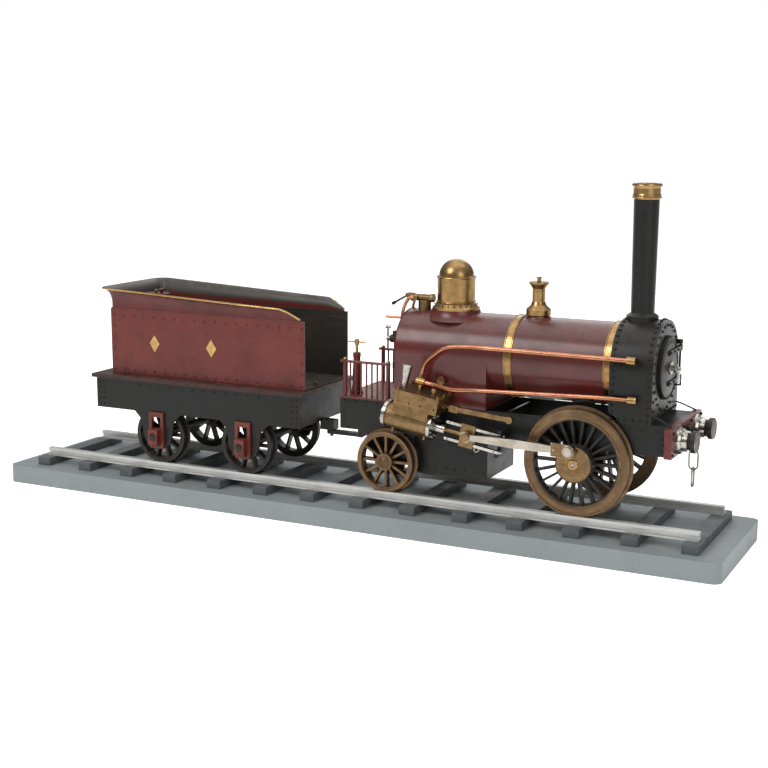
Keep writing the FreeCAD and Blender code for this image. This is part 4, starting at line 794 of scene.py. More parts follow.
    def plates(self, name: str, body: Body, outlines: Sequence[tuple], finish: str) -> bpy.types.Object:
        """Makes flat plates that are one piece.

        Args:
            name: The piece's name.
            body: The body that it rides on.
            outlines: Pairs of a closed outline's points and the thickness vector, in millimetres.
            finish: The finish's name.

        Returns:
            The piece.
        """
        points: list[Vector] = []
        faces: list[tuple[int, ...]] = []
        for outline, thickness in outlines:
            first, count = len(points), len(outline)
            points.extend(Vector(p) for p in outline)
            points.extend(Vector(p) + Vector(thickness) for p in outline)
            faces.append(tuple(first + i for i in range(count)))
            faces.append(tuple(first + count + i for i in reversed(range(count))))
            for here in range(first, first + count):
                there = first + (here - first + 1) % count
                faces.append((here, count + here, count + there, there))
        return self._solid(name, body, points, faces, finish, False)

    def _solid(self, name: str, body: Body, points: Sequence[Vector], faces: Sequence[tuple], finish: str,
               smooth: bool) -> bpy.types.Object:
        """Makes a closed mesh whose faces look out.

        Args:
            name: The piece's name.
            body: The body that it rides on.
            points: Corners in millimetres.
            faces: Indices of each face's corners.
            finish: The finish's name.
            smooth: Whether it is shaded smooth. If not, its edges get a small bevel.

        Returns:
            The piece.
        """
        mesh = bpy.data.meshes.new(name)
        mesh.from_pydata([p * MM for p in points], [], faces)
        builder = bmesh.new()
        builder.from_mesh(mesh)
        bmesh.ops.remove_doubles(builder, verts=builder.verts, dist=1e-6)
        bmesh.ops.dissolve_degenerate(builder, edges=builder.edges, dist=1e-7)
        bmesh.ops.recalc_face_normals(builder, faces=builder.faces)
        builder.to_mesh(mesh)
        builder.free()
        mesh.materials.append(self.book.materials[finish])
        if smooth:
            mesh.polygons.foreach_set("use_smooth", [True] * len(mesh.polygons))
            mesh.set_sharp_from_angle(angle=math.radians(32))
        piece = bpy.data.objects.new(name, mesh)
        bpy.context.scene.collection.objects.link(piece)
        if not smooth:
            bevel = piece.modifiers.new("edge", "BEVEL")
            bevel.width, bevel.segments, bevel.limit_method = 0.00025, 2, "ANGLE"
        return self._hang(piece, body, finish)


def row(start: Point, end: Point, count: int, facing: Point) -> list[Spot]:
    """Gives evenly spaced spots with one facing.

    Args:
        start: The first place.
        end: The last place.
        count: How many.
        facing: Their facing.

    Returns:
        The spots.
    """
    first, last = Vector(start), Vector(end)
    return [(tuple(first.lerp(last, i / max(count - 1, 1))), facing) for i in range(count)]


def circle(centre: Point, axis: Point, radius: float, count: int, start: float = 0.0) -> list[Spot]:
    """Gives spots round a circle, facing along its axis.

    Args:
        centre: The circle's centre.
        axis: The direction that it faces.
        radius: Its radius.
        count: How many spots.
        start: The first spot's angle in degrees.

    Returns:
        The spots.
    """
    along = Vector(axis).normalized()
    side = Vector((0, 1, 0)) if abs(along.y) < 0.9 else Vector((1, 0, 0))
    side = (side - along * side.dot(along)).normalized()
    other = along.cross(side)
    spots = []
    for i in range(count):
        turn = math.radians(start) + 2 * math.pi * i / count
        out = side * math.cos(turn) + other * math.sin(turn)
        spots.append((tuple(Vector(centre) + out * radius), tuple(along)))
    return spots


def bead(root: float, shoulder: float, crest: float, half: float, rise: float) -> list[tuple[float, float]]:
    """Draws the outline of a rounded bead round a turned shape.

    Args:
        root: The radius where it meets the shape.
        shoulder: The radius of its shoulders.
        crest: The radius of its crest.
        half: Half its width at the root.
        rise: Half its width at the shoulders.

    Returns:
        Pairs of a radius and a height.
    """
    return [(root, -half), (shoulder, -rise), (crest, 0.0), (shoulder, rise), (root, half)]


def outward(side: int) -> Point:
    """Gives the direction out of one side, 1 for the left and -1 for the right."""
    return 0.0, float(side), 0.0


@dataclass(frozen=True)
class StrokeLine:
    """The line of the cylinders, which slopes up from the driving axle to the rear."""

    axle_x: float = 354.0
    axle_z: float = 122.4
    slope: float = math.radians(9.3)

    def at(self, x: float, y: float, z: float) -> Point:
        """Turns a place on the line into a place on the engine.

        Args:
            x: Millimetres ahead of the driving axle, along the line.
            y: Millimetres to the left.
            z: Millimetres above the line.

        Returns:
            The place on the engine.
        """
        cos, sin = math.cos(self.slope), math.sin(self.slope)
        return (self.axle_x + x * cos + z * sin, y, self.axle_z - x * sin + z * cos)

    def turn(self, x: float, y: float, z: float) -> Point:
        """Turns a direction on the line into a direction on the engine.

        Args:
            x: Its part along the line.
            y: Its part to the left.
            z: Its part above the line.

        Returns:
            The direction on the engine.
        """
        cos, sin = math.cos(self.slope), math.sin(self.slope)
        return (x * cos + z * sin, y, -x * sin + z * cos)


# ---------------------------------------------------------------- sub-assemblies


@dataclass
class Assembly:
    """A group of pieces that one workshop makes."""

    shop: Workshop


@dataclass
class Track(Assembly):
    """The screws that hold the rails to the sleepers."""

    rail_y: float = 68.0
    first_x: float = -505.0
    pitch: float = 78.3
    sleepers: int = 14
    sleeper_top: float = 39.4

    def build(self) -> None:
        """Makes the screws on both sides of each rail."""
        spots = [((self.first_x + self.pitch * i, side * self.rail_y + off, self.sleeper_top), UP)
                 for i in range(self.sleepers) for side in SIDES for off in (-9.3, 9.3)]
        self.shop.rivets("rail_screws", Body.TRACK, spots, "worn_steel", 1.7, 0.5)


@dataclass
class BoilerDress(Assembly):
    """Rivets, studs and trims of the boiler, the smokebox and the chimney."""

    axis_z: float = 245.0
    radius: float = 62.0
    rear_x: float = 392.0
    face_x: float = 449.0
    floor_z: float = 179.0
    dome_x: float = 151.7
    valve_x: float = 272.0
    chimney_x: float = 415.0
    base_radius: float = 64.6

    def build(self) -> None:
        """Makes every piece of the boiler's dress."""
        self._smokebox_rivets()
        self._front_studs()
        self._door_straps()
        self._mountings()
        self._backhead()
        self._stays()

    def _smokebox_rivets(self) -> None:
        """Rivets round both edges of the smokebox wrapper and down its sides."""
        spots: list[Spot] = []
        for x in (self.rear_x + 4.5, self.face_x - 6.0):
            for step in range(21):
                turn = math.pi * step / 20
                out = (0.0, math.cos(turn), math.sin(turn))
                spots.append(((x, out[1] * self.radius, self.axis_z + out[2] * self.radius), out))
            for side in SIDES:
                y = side * self.radius
                spots += row((x, y, self.axis_z - 7.5), (x, y, self.floor_z + 5), 7, outward(side))
        for side in SIDES:
            spots += row((self.rear_x + 13, side * self.radius, self.floor_z + 5),
                         (self.face_x - 15, side * self.radius, self.floor_z + 5), 4, outward(side))
        self.shop.rivets("smokebox_rivets", Body.ENGINE, spots, "black_satin", 2.3, 0.95)

    def _front_studs(self) -> None:
        """Studs on the smokebox's front plate, round the door and along the bottom."""
        spots = [s for s in circle((self.face_x, 0, self.axis_z), AHEAD, 55.5, 28)
                 if not (s[0][1] > 40 and abs(s[0][2] - self.axis_z) < 33)]
        spots += row((self.face_x, -56, self.axis_z - 12), (self.face_x, -56, self.floor_z + 6), 5, AHEAD)
        spots += row((self.face_x, -46, self.floor_z + 6), (self.face_x, 56, self.floor_z + 6), 10, AHEAD)
        self.shop.rivets("front_plate_rivets", Body.ENGINE, spots, "black_satin", 2.1, 0.95)
        ring = []
        for step in range(14):
            turn = 2 * math.pi * step / 14
            x, y = self.chimney_x + 18.2 * math.cos(turn), 18.2 * math.sin(turn)
            height = self.axis_z + math.sqrt(self.base_radius ** 2 - y * y) - 0.3
            ring.append(((x, y, height), (0.0, y / 64.0, 1.0)))
        self.shop.rivets("chimney_base_bolts", Body.ENGINE, ring, "black_satin", 2.3, 1.0)

    def _door_straps(self) -> None:
        """Nuts on the door's straps, a rim bead and the dart's seat."""
        spots = [((456.5, y, self.axis_z + z), AHEAD) for z in (-20, 20) for y in (-5, 12, 30)]
        self.shop.nuts("door_strap_nuts", Body.DOOR, spots, "black_satin", 1.9, 1.0, 1.0)
        rim = [(39.0, 0.0), (41.4, 0.0), (41.4, 2.2), (40.2, 3.2), (39.0, 2.2)]
        self.shop.turned("door_rim", Body.DOOR, [((450.6, 0, self.axis_z), AHEAD, rim)], "black_satin", 64)
        seat = [(4.2, 0.0), (9.0, 0.0), (9.0, 0.9), (8.2, 1.5), (4.2, 1.5)]
        self.shop.turned("dart_seat", Body.DOOR, [((455.1, 0, self.axis_z), AHEAD, seat)], "worn_steel", 32)

    def _mountings(self) -> None:
        """Flange rivets, painted saddles and beads on the dome, safety valve and chimney."""
        self.shop.turned("mounting_saddles", Body.ENGINE, [
            ((self.dome_x, 0, 303.4), UP, [(30.0, 0.0), (33.4, 0.0), (33.8, -2.0), (35.0, -5.5), (37.5, -9.5),
                                           (41.5, -14.0), (30.0, -18.0)]),
            ((self.valve_x, 0, 299.6), UP, [(12.0, 0.6), (17.2, 0.6), (17.6, -0.6), (19.0, -2.2),
                                            (22.0, -4.4), (12.0, -8.0)])], "maroon_boiler", 96)
        flange = circle((self.dome_x, 0, 310.8), UP, 29.6, 20)
        self.shop.rivets("dome_flange_rivets", Body.ENGINE, flange, "aged_brass", 1.2)
        dome = [((self.dome_x, 0, 314.0), UP, bead(25.8, 27.2, 27.6, 1.2, 0.7)),
                ((self.dome_x, 0, 347.4), UP, bead(25.8, 26.9, 27.3, 1.4, 0.9))]
        self.shop.turned("dome_beads", Body.ENGINE, dome, "aged_brass", 72)
        valve = [((self.valve_x, 0, 351.9), UP, [(0.0, 0.0), (3.2, 0.0), (3.6, 0.8), (3.2, 1.6), (0.0, 1.7)])]
        self.shop.turned("valve_beads", Body.ENGINE, valve, "dull_brass", 32)
        cap = [((self.chimney_x, 0, 463.2), UP, bead(17.5, 18.9, 19.2, 1.3, 0.8)),
               ((self.chimney_x, 0, 478.6), UP, bead(17.5, 19.1, 19.4, 1.5, 1.0))]
        self.shop.turned("cap_beads", Body.ENGINE, cap, "aged_brass", 72)
        bands = [((x, 0, self.axis_z), AHEAD, bead(55.9, 56.7, 56.9, 0.6, 0.4))
                 for x in (245.2, 253.8, 382.2, 390.8)]
        self.shop.turned("band_edges", Body.ENGINE, bands, "aged_brass", 96)

    def _backhead(self) -> None:
        """Rivets round the backhead and a beading ring behind the boiler."""
        spots = circle((84.0, 0, self.axis_z), BEHIND, 50.5, 30, 6.0)
        self.shop.rivets("backhead_rivets", Body.ENGINE, spots, "maroon_boiler", 1.5, 0.8)
        self.shop.turned("backhead_ring", Body.ENGINE, [
            ((84.6, 0, self.axis_z), BEHIND,
             [(54.6, 0.0), (55.7, 0.2), (55.9, 1.0), (55.3, 1.9), (54.6, 2.0)])],
            "maroon_boiler", 96)

    def _stays(self) -> None:
        """The thin wire stays from the smokebox's foot to the buffer beam."""
        lines = [[(449.5, side * 58.0, 190.0), (457.0, side * 58.0, 188.0), (474.0, side * 61.0, 181.0),
                  (475.0, side * 61.0, 178.6)] for side in SIDES]
        self.shop.wires("smokebox_stays", Body.ENGINE, lines, "black_satin", 1.1, 4.0)


@dataclass
class CylinderDress(Assembly):
    """Bolts, studs and small fittings of the cylinders, chests and slide bars."""

    line: StrokeLine = StrokeLine()
    cylinder_y: float = 85.0
    stud_circle: float = 14.8

    def build(self) -> None:
        """Makes the fittings of both sides."""
        at, turn = self.line.at, self.line.turn
        cover_nuts: list[Spot] = []
        chest_nuts: list[Spot] = []
        top_nuts: list[Spot] = []
        bar_nuts: list[Spot] = []
        gland_nuts: list[Spot] = []
        rivets: list[Spot] = []
        for side in SIDES:
            y = side * self.cylinder_y
            for x, facing in ((-197.5, 1.0), (-270.5, -1.0)):
                for i in range(8):
                    a = math.pi * (i + 0.5) / 4
                    place = at(x, y + self.stud_circle * math.cos(a), self.stud_circle * math.sin(a))
                    cover_nuts.append((place, turn(facing, 0, 0)))
            out = outward(side)
            for x in (-249.5, -233.0, -216.0, -195.5):
                for z in (26.5, 39.5):
                    chest_nuts.append((at(x, side * 105.0, z), out))
            for x in (-251.5, -193.0):
                for y_off in (63.0, 82.0, 102.0):
                    top_nuts.append((at(x, side * y_off, 42.0), turn(0, 0, 1)))
            for z in (11.4, -11.4):
                bar_nuts.append((at(-101.8, side * 83.4, z), turn(1, 0, 0)))
                rivets += [(at(x, side * 86.4, z), out) for x in (-176.0, -108.0)]
            for off in (-4.9, 4.9):
                gland_nuts.append((at(-181.0, y + off, 0.0), turn(1, 0, 0)))
            rivets += [(at(-104.5, side * 62.0, z), turn(1, 0, 0)) for z in (-10.0, 0.0, 10.0)]
        self.shop.nuts("cylinder_cover_nuts", Body.ENGINE, cover_nuts, "worn_steel", 1.9, 1.6, 1.0)
        self.shop.nuts("chest_face_bolts", Body.ENGINE, chest_nuts, "dull_brass", 1.9, 1.3, 0.9)
        self.shop.nuts("chest_top_nuts", Body.ENGINE, top_nuts, "aged_brass", 2.1, 1.8, 1.1)
        self.shop.nuts("slide_bar_nuts", Body.ENGINE, bar_nuts, "bright_steel", 2.3, 2.4, 1.3)
        self.shop.nuts("gland_nuts", Body.ENGINE, gland_nuts, "aged_brass", 1.6, 1.4, 0.9)
        self.shop.rivets("slide_bar_screws", Body.ENGINE, rivets, "worn_steel", 1.3, 0.5)
        self._drains()
        self._caps()

    def _drains(self) -> None:
        """The thin drain rods under the slide bars and their cocks."""
        at = self.line.at
        lines = []
        for side in SIDES:
            y = side * 74.0
            low = side * self.cylinder_y
            lines.append([at(-258, low, -17.0), at(-258, low, -22.0), at(-236, y, -23.0),
                          at(-180, y, -21.0), at(-150, y, -27.0), at(-132, y, -24.0), at(-128, y, -12.0)])
            lines.append([at(-210, low, -17.0), at(-210, low, -21.0),
                          at(-200, y + side * 3, -20.5), at(-160, y + side * 3, -18.0)])
        self.shop.wires("drain_rods", Body.ENGINE, lines, "black_iron", 0.8, 4.0)
        cock = [(0.0, 0.0), (2.6, 0.0), (2.6, 1.4), (1.7, 1.9), (1.7, 4.2), (2.2, 4.6), (2.2, 5.6),
                (0.0, 5.6)]
        cocks = [(at(x, side * self.cylinder_y, -16.6), self.line.turn(0, 0, -1), cock)
                 for side in SIDES for x in (-258.0, -210.0)]
        self.shop.turned("drain_cocks", Body.ENGINE, cocks, "dull_brass", 20)

    def _caps(self) -> None:
        """The brass screw caps on the chests and the ring boss on the ash pan."""
        up = self.line.turn(0, 0, 1)
        outline = [(0.0, 0.0), (3.4, 0.0), (3.4, 1.2), (2.4, 1.6), (2.4, 5.0), (3.8, 5.4), (3.8, 9.2),
                   (3.0, 10.0), (0.0, 10.0)]
        caps = [(self.line.at(-205.0, side * 90.0, 42.0), up, outline) for side in SIDES]
        self.shop.turned("chest_caps", Body.ENGINE, caps, "aged_brass", 24)
        ring = [(2.0, 0.0), (4.6, 0.0), (4.6, 2.0), (3.8, 2.7), (2.8, 2.7), (2.0, 2.0)]
        bosses = [((206.0, side * 49.0, 120.0), outward(side), ring) for side in SIDES]
        self.shop.turned("ash_pan_bosses", Body.ENGINE, bosses, "worn_steel", 28)


@dataclass
class RunningGear(Assembly):
    """Rings, discs and nuts that dress the wheels and the rods."""

    line: StrokeLine = StrokeLine()
    near_crank: float = 100.0
    far_crank: float = 190.0
    throw: float = 20.0
    near_stroke: float = 148.36
    far_stroke: float = 161.72
    hub_y: float = 82.0
    tyre_y: float = 73.0
    rod_y: float = 95.7
    pin_y: float = 98.4

    def crank_pin(self, side: int) -> tuple[float, float]:
        """Finds the crank pin on one side.

        Args:
            side: 1 on the engine's left, -1 on its right.

        Returns:
            Its x and z in millimetres.
        """
        turn = math.radians(self.near_crank if side < 0 else self.far_crank)
        return self.line.axle_x + self.throw * math.cos(turn), self.line.axle_z + self.throw * math.sin(turn)

    def build(self) -> None:
        """Makes the wheels' and the rods' dress."""
        self._driving_hubs()
        self._carrying_hubs()
        self._rod_ends()
        self._crossheads()

    def _driving_hubs(self) -> None:
        """Brass hub discs with an axle ring, and pale beads round the tyres."""
        disc = [(7.2, 0.0), (23.6, 0.0), (23.6, 0.5), (22.6, 1.2), (8.4, 1.6), (7.2, 1.6)]
        ring = [(2.6, 0.0), (7.0, 0.0), (7.0, 2.4), (6.2, 3.0), (3.4, 3.0), (2.6, 2.2)]
        discs, rings, beads = [], [], []
        for side in SIDES:
            out = outward(side)
            centre = (self.line.axle_x, side * self.hub_y, self.line.axle_z)
            discs.append((centre, out, disc))
            rings.append((centre, out, ring))
            for bead in ([(58.6, -0.2), (61.0, -0.2), (61.0, 0.5), (59.8, 0.9), (58.6, 0.5)],
                         [(67.6, -0.2), (69.6, -0.2), (69.6, 0.35), (68.6, 0.7), (67.6, 0.35)]):
                beads.append(((self.line.axle_x, side * self.tyre_y, self.line.axle_z), out, bead))
        self.shop.turned("driving_hub_discs", Body.DRIVERS, discs, "dull_brass", 56)
        self.shop.turned("driving_axle_rings", Body.DRIVERS, rings, "aged_brass", 32)
        self.shop.turned("driving_tyre_beads", Body.DRIVERS, beads, "wheel_bronze", 96)

    def _carrying_hubs(self) -> None:
        """Hub caps and rim beads of the three carrying wheelsets."""
        sets = ((Body.TRAILERS, 78.0, "wheel_bronze", "trailing"),
                (Body.FRONT_WHEELS, TENDER_AXLES[0], "black_iron", "front"),
                (Body.REAR_WHEELS, TENDER_AXLES[1], "black_iron", "rear"))
        for body, x, finish, label in sets:
            shapes = []
            for side in SIDES:
                out = outward(side)
                if body is Body.TRAILERS:
                    shapes.append(((x, side * 75.0, CARRYING_AXLE_Z), out,
                                   [(0.0, 0.0), (8.4, 0.0), (8.4, 0.8), (6.0, 1.6), (4.6, 2.6), (0.0, 3.2)]))
                shapes.append(((x, side * self.tyre_y, CARRYING_AXLE_Z), out,
                               [(36.0, -0.2), (38.0, -0.2), (38.0, 0.4), (37.0, 0.7), (36.0, 0.4)]))
            self.shop.turned(f"{label}_wheel_beads", body, shapes, finish, 72)

    def _rod_ends(self) -> None:
        """A ring, an oiler, a brass strap, its screws and a nut on each big end."""
        for side, body in RODS:
            x, z = self.crank_pin(side)
            out = outward(side)
            pin = Vector((x, side * self.rod_y, z))
            rear = self._rear_pin(side)
            along = Vector((rear[0] - x, 0.0, rear[1] - z)).normalized()
            up = Vector((-along.z, 0.0, along.x))
            if up.z < 0:
                up.negate()
            rim = [(6.1, 0.2), (7.7, 0.2), (7.7, 0.9), (7.1, 1.3), (6.1, 1.3)]
            self.shop.turned(f"big_end_ring_{body.value}", body, [(tuple(pin), out, rim)], "worn_steel", 36)
            base = Vector((x, side * 92.5, z)) + along * 9.0 + up * 8.2
            oiler = [(0.0, 0.0), (2.5, 0.0), (2.5, 1.6), (1.6, 2.2), (1.6, 3.6), (0.0, 4.0)]
            self.shop.turned(f"big_end_oiler_{body.value}", body, [(tuple(base), tuple(up), oiler)],
                             "bright_steel", 20)
            spots = [(tuple(pin + along * d + up * h), out) for d in (13.0, 20.0) for h in (-5.2, 5.2)]
            strap = self._strap(pin, along, up, side)
            self.shop.plates(f"big_end_strap_{body.value}", body, [strap], "dull_brass")
            self.shop.rivets(f"strap_screws_{body.value}", body, spots, "worn_steel", 1.2, 0.5)
            self.shop.nuts(f"small_end_nut_{body.value}", body, [(tuple(pin + along * 18.6), out)],
                           "worn_steel", 1.7, 1.1, 0.8)

    @staticmethod
    def _strap(pin: Vector, along: Vector, up: Vector, side: int) -> tuple:
        """Draws the brass plate on a big end, with its pin end rounded.

        Args:
            pin: The crank pin's place at the rod's outer face.
            along: The direction from the crank pin to the crosshead.
            up: The direction across the rod.
            side: 1 on the engine's left, -1 on its right.

        Returns:
            The closed outline and the thickness vector.
        """
        shape = [(22.6, -7.2), (22.6, 7.2), (20.8, 8.6), (0.0, 8.6)]
        for step in range(1, 12):
            turn = math.radians(15 * step)
            shape.append((-8.6 * math.sin(turn), 8.6 * math.cos(turn)))
        shape += [(0.0, -8.6), (20.8, -8.6)]
        return [tuple(pin + along * d + up * h) for d, h in shape], (0.0, side * 0.45, 0.0)

    def _rear_pin(self, side: int) -> tuple[float, float]:
        """Finds the crosshead pin on one side.

        Args:
            side: 1 on the engine's left, -1 on its right.

        Returns:
            Its x and z in millimetres.
        """
        distance = self.near_stroke if side < 0 else self.far_stroke
        place = self.line.at(-distance, 0.0, 0.0)
        return place[0], place[2]

    def _crossheads(self) -> None:
        """Low domed caps on the crosshead pins."""
        for side, body in MOTIONS:
            x, z = self._rear_pin(side)
            cap = [(0.0, 0.0), (4.6, 0.0), (4.6, 0.5), (3.4, 0.75), (0.0, 0.8)]
            self.shop.turned(f"pin_cap_{body.value}", body, [((x, side * self.pin_y, z), outward(side), cap)],
                             "dull_brass", 28)


@dataclass
class FrontDress(Assembly):
    """Fittings of the buffer beam, the buffers and the hook."""

    beam_x: float = 480.0
    buffer_y: float = 45.0
    buffer_z: float = 160.5

    def build(self) -> None:
        """Makes the beam's nuts, the buffers' bolts and rings, and the hook's nuts."""
        spots: list[Spot] = []
        for side in SIDES:
            spots += circle((487.0, side * self.buffer_y, self.buffer_z), AHEAD, 15.4, 4, 45)
        self.shop.nuts("buffer_bolts", Body.ENGINE, spots, "worn_steel", 1.5, 1.2, 0.8)
        nuts = [((self.beam_x, side * y, z), AHEAD)
                for side in SIDES for y in (70.5, 20.0) for z in (146, 174)]
        self.shop.nuts("beam_nuts", Body.ENGINE, nuts, "black_satin", 2.1, 1.5, 1.1)
        for side, body in BUFFERS:
            self.shop.turned(f"buffer_rim_{body.value}", body, [
                ((504.2, side * self.buffer_y, self.buffer_z), AHEAD,
                 [(11.8, 0.9), (13.2, 0.9), (13.9, 0.5), (14.2, -0.6), (12.6, -0.6)])], "worn_steel", 48)
        hook = [((484.0, y, z), AHEAD) for y in (-6.6, 6.6) for z in (156.6, 169.4)]
        self.shop.rivets("hook_plate_rivets", Body.ENGINE, hook, "black_iron", 1.2, 0.7)


@dataclass
class FrameDress(Assembly):
    """Rivets and bolts along the engine's frames and its footplate."""

    face_y: float = 56.5
    top_z: float = 171.5

    def build(self) -> None:
        """Makes the frame rivets, the railing's caps and the footplate's screws."""
        spots: list[Spot] = []
        for side in SIDES:
            out = outward(side)
            y = side * self.face_y
            for first, last, count in ((8, 122, 8), (255, 455, 12)):
                spots += row((first, y, self.top_z), (last, y, self.top_z), count, out)
            spots += row((6, y, 163), (6, y, 141), 4, out)
            spots += row((463, y, 163), (463, y, 146), 3, out)
            spots += row((118, side * 49.0, 88), (216, side * 49.0, 88), 8, out)
        self.shop.rivets("frame_rivets", Body.ENGINE, spots, "black_satin", 1.5, 0.65)
        posts = [((x, side * 60.0, 231.0), UP, [(0.0, -0.6), (2.6, -0.6), (3.0, 0.6), (2.2, 2.0), (0.0, 2.6)])
                 for side in SIDES for x in (10.0, 77.0)]
        self.shop.turned("railing_caps", Body.ENGINE, posts, "aged_brass", 24)
        screws = [((x, y, 179.0), UP) for x in (7.0, 79.0) for y in (-40.0, -14.0, 14.0, 40.0)]
        self.shop.rivets("footplate_screws", Body.ENGINE, screws, "black_satin", 1.5, 0.4)


@dataclass
class TenderDress(Assembly):
    """Rivets, beads and small fittings of the tender."""

    half: float = 66.0
    rear_x: float = -387.0
    front_x: float = -52.0
    low_z: float = 187.0
    high_z: float = 268.5

    def build(self) -> None:
        """Makes every piece of the tender's dress."""
        self._tank_rivets()
        self._bead()
        self._frame_rivets()
        self._ornament()
        self._fittings()

    def _tank_rivets(self) -> None:
        """Rows of rivets along the tank's sides and rear, and up its corners."""
        spots: list[Spot] = []
        for side in SIDES:
            out, y = outward(side), side * self.half
            for z in (self.low_z, self.high_z):
                spots += row((self.rear_x + 5, y, z), (self.front_x - 5, y, z), 19, out)
            for x in (self.rear_x + 5, self.front_x - 5):
                spots += row((x, y, self.low_z + 16.3), (x, y, self.high_z - 16.3), 4, out)
        for z in (self.low_z, self.high_z):
            spots += row((self.rear_x, -self.half + 5, z), (self.rear_x, self.half - 5, z), 8, BEHIND)
        for side in SIDES:
            y = side * (self.half - 5)
            spots += row((self.rear_x, y, self.low_z + 16.3), (self.rear_x, y, self.high_z - 16.3), 4, BEHIND)
        self.shop.rivets("tank_rivets", Body.TENDER, spots, "maroon_trim", 2.0, 0.85)

    def _bead(self) -> None:
        """The gilt bead along the coping's upper edge, and the painted one along its foot."""
        left = [(-58.4, 66.9, 281.6), (-66.0, 69.2, 286.2), (-76.0, 72.2, 292.0), (-87.6, 74.5, 296.1)]
        left += [(-87.6 - 293.4 * t, 74.5 + 5.1 * t, 296.1 + 13.0 * t) for t in (0.25, 0.5, 0.75, 1.0)]
        corner = [(-381.0 - 19.6 * math.sin(a), 60.0 + 19.6 * math.cos(a), 309.1)
                  for a in (math.radians(15 * i) for i in range(1, 7))]
        half = left + corner
        line = half + [(x, -y, z) for x, y, z in reversed(half)]
        self.shop.wires("coping_bead", Body.TENDER, [line], "gilt", 1.25, 0.5)
        foot = [(self.front_x - 6, self.half + 0.2, 279.4), (-381.0, self.half + 0.2, 279.4)]
        foot += [(-381.0 - 6.2 * math.sin(a), 60.0 + 6.2 * math.cos(a), 279.4)
                 for a in (math.radians(30 * i) for i in range(1, 4))]
        whole = foot + [(x, -y, z) for x, y, z in reversed(foot)]
        self.shop.wires("coping_foot_bead", Body.TENDER, [whole], "maroon_trim", 0.8, 0.5)

    def _frame_rivets(self) -> None:
        """Rivets at the ends of the tender's frames and round the axle guards."""
        black: list[Spot] = []
        red: list[Spot] = []
        for side in SIDES:
            out, y = outward(side), side * 80.0
            for x in (-402.0, -394.5, -66.0, -58.5):
                black += row((x, y, 134), (x, y, 168), 5, out)
            black += row((-330, y, 168), (-120, y, 168), 12, out)
            for x in TENDER_AXLES:
                red += [((x + dx, side * 84.0, z), out) for dx in (-9.8, 9.8) for z in (79.5, 124.5)]
        for z in (168, 134):
            black += row((-407, -72, z), (-407, 72, z), 9, BEHIND)
        self.shop.rivets("tender_frame_rivets", Body.TENDER, black, "black_satin", 1.8, 0.9)
        self.shop.rivets("axle_guard_rivets", Body.TENDER, red, "dull_brass", 1.5, 0.7)
        cap = [(0.0, -0.3), (6.0, -0.3), (6.0, 0.5), (4.4, 1.1), (0.0, 1.3)]
        caps = [((x, side * 94.0, CARRYING_AXLE_Z), outward(side), cap)
                for side in SIDES for x in TENDER_AXLES]
        self.shop.turned("axlebox_caps", Body.TENDER, caps, "black_iron", 28)

    def _ornament(self) -> None:
        """A plain gilt lozenge at two places on each side of the tank, where owners put a device."""
        outlines = []
        for side in SIDES:
            for x in (-308.0, -208.0):
                y, z = side * (self.half - 0.1), 230.0
                rim = [(x - 9, y, z), (x, y, z + 13), (x + 9, y, z), (x, y, z - 13)]
                outlines.append((rim if side < 0 else rim[::-1], (0.0, side * 0.8, 0.0)))
        self.shop.plates("tank_lozenges", Body.TENDER, outlines, "gilt")

    def _fittings(self) -> None:
        """The filler lid's knob and the knob on the tender's floor."""
        knobs = (("filler_knob", Body.LID, (-350.0, 0, 293.9),
                  [(0.0, 0.0), (2.2, 0.0), (1.6, 2.0), (1.6, 4.0), (3.4, 5.2), (3.4, 7.0), (2.4, 8.2),
                   (0.0, 8.6)]),
                 ("floor_knob", Body.TENDER, (-60.0, -20.0, 178.8),
                  [(0.0, 0.0), (3.4, 0.0), (3.0, 1.2), (1.8, 2.0), (1.8, 4.4), (3.2, 5.4), (2.8, 7.2),
                   (0.0, 7.8)]))
        for name, body, place, outline in knobs:
            self.shop.turned(name, body, [(place, UP, outline)], "dull_brass", 24)


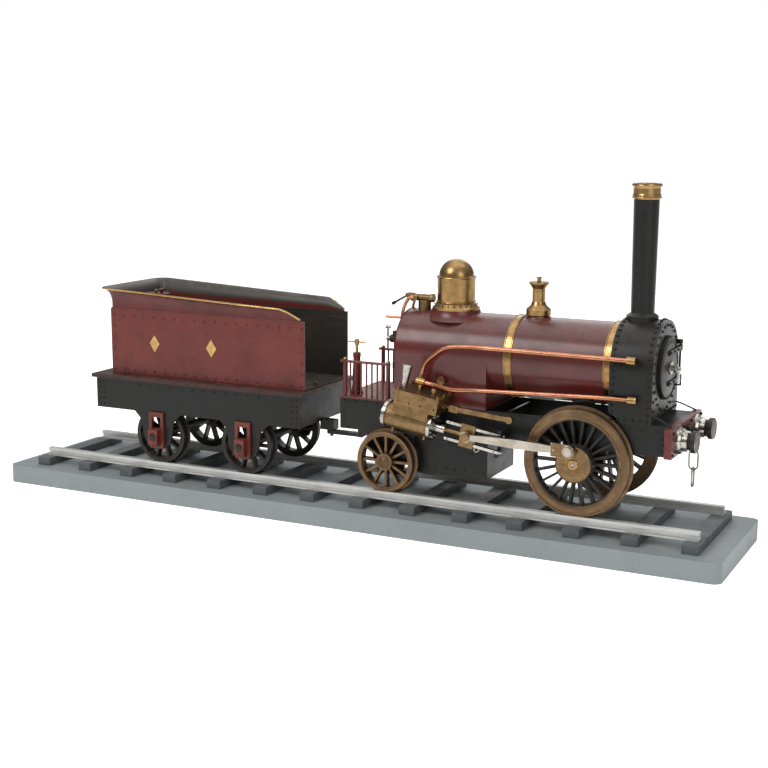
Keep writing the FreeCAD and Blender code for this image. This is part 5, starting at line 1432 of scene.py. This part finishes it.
@dataclass
class Studio:
    """The floor, the soft lights and the camera."""

    eye: Point = (0.91807, -1.77330, 0.55876)
    azimuth: float = 26.318
    elevation: float = 10.618
    roll: float = 0.222
    lens: float = 65.97

    def build(self) -> None:
        """Makes the stage."""
        self._camera()
        self._floor()
        self._world()
        self._light("key", (-0.9, -1.8, 1.9), 1.3, 34.0)
        self._light("fill", (1.9, -1.4, 1.1), 1.4, 13.0)
        self._light("top", (0.1, 0.2, 2.4), 2.4, 26.0)
        self._light("rear", (-0.6, 2.1, 1.5), 1.6, 12.0)

    def _camera(self) -> None:
        """Makes the camera."""
        data = bpy.data.cameras.new("camera")
        data.lens, data.sensor_width, data.clip_start = self.lens, 36.0, 0.05
        camera = bpy.data.objects.new("camera", data)
        bpy.context.scene.collection.objects.link(camera)
        az, el, roll = (math.radians(v) for v in (self.azimuth, self.elevation, self.roll))
        back = Vector((math.sin(az) * math.cos(el), -math.cos(az) * math.cos(el), math.sin(el)))
        right = Vector((0, 0, 1)).cross(back).normalized()
        up = back.cross(right)
        tilted = right * math.cos(roll) + up * math.sin(roll)
        up = back.cross(tilted)
        rows = [(tilted[i], up[i], back[i], self.eye[i]) for i in range(3)] + [(0, 0, 0, 1)]
        camera.matrix_world = Matrix(rows)
        bpy.context.scene.camera = camera

    def _floor(self) -> None:
        """Makes the pale floor."""
        mesh = bpy.data.meshes.new("floor")
        mesh.from_pydata([(-9, -9, 0), (9, -9, 0), (9, 9, 0), (-9, 9, 0)], [], [(0, 1, 2, 3)])
        material = bpy.data.materials.new("floor_white")
        material.use_nodes = True
        shader = material.node_tree.nodes["Principled BSDF"]
        shader.inputs["Base Color"].default_value = (0.95, 0.95, 0.95, 1.0)
        shader.inputs["Roughness"].default_value = 0.95
        shader.inputs["Specular IOR Level"].default_value = 0.0
        shader.inputs["Emission Color"].default_value = (1.0, 1.0, 1.0, 1.0)
        shader.inputs["Emission Strength"].default_value = 0.5
        mesh.materials.append(material)
        floor = bpy.data.objects.new("floor", mesh)
        bpy.context.scene.collection.objects.link(floor)

    def _world(self) -> None:
        """Makes surroundings that are bright overhead and dimmer near the floor, behind a white backdrop."""
        world = bpy.data.worlds.new("studio")
        world.use_nodes = True
        tree = world.node_tree
        shade = tree.nodes["Background"]
        shade.inputs["Color"].default_value = (1.0, 1.0, 1.0, 1.0)
        place = tree.nodes.new("ShaderNodeTexCoord")
        split = tree.nodes.new("ShaderNodeSeparateXYZ")
        tree.links.new(place.outputs["Generated"], split.inputs[0])
        height = ramp(tree, split.outputs["Z"], -0.1, 0.85, 0.10, 0.62)
        path = tree.nodes.new("ShaderNodeLightPath")
        level = tree.nodes.new("ShaderNodeMix")
        tree.links.new(path.outputs["Is Camera Ray"], level.inputs[0])
        tree.links.new(height, level.inputs[2])
        level.inputs[3].default_value = 1.0
        tree.links.new(level.outputs[0], shade.inputs["Strength"])
        bpy.context.scene.world = world
        bpy.context.scene.view_settings.view_transform = "Standard"

    def _light(self, name: str, place: Point, size: float, power: float) -> None:
        """Makes one soft light that looks at the engine.

        Args:
            name: The light's name.
            place: Its place in metres.
            size: Its width in metres.
            power: Its power in watts.
        """
        data = bpy.data.lights.new(name, "AREA")
        data.size, data.energy = size, power
        light = bpy.data.objects.new(name, data)
        bpy.context.scene.collection.objects.link(light)
        light.location = place
        light.rotation_euler = (Vector(place) - Vector((0.0, 0.0, 0.2))).to_track_quat("Z", "Y").to_euler()


def main() -> None:
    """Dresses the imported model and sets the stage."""
    logging.basicConfig(level=logging.INFO, format="%(name)s: %(message)s")
    book = FinishBook()
    book.dress_nodes()
    shop = Workshop(book)
    Studio().build()
    for assembly in (Track, BoilerDress, CylinderDress, RunningGear, FrontDress, FrameDress, TenderDress):
        log.info("building %s", assembly.__name__)
        assembly(shop).build()


if __name__ == "__main__":
    main()
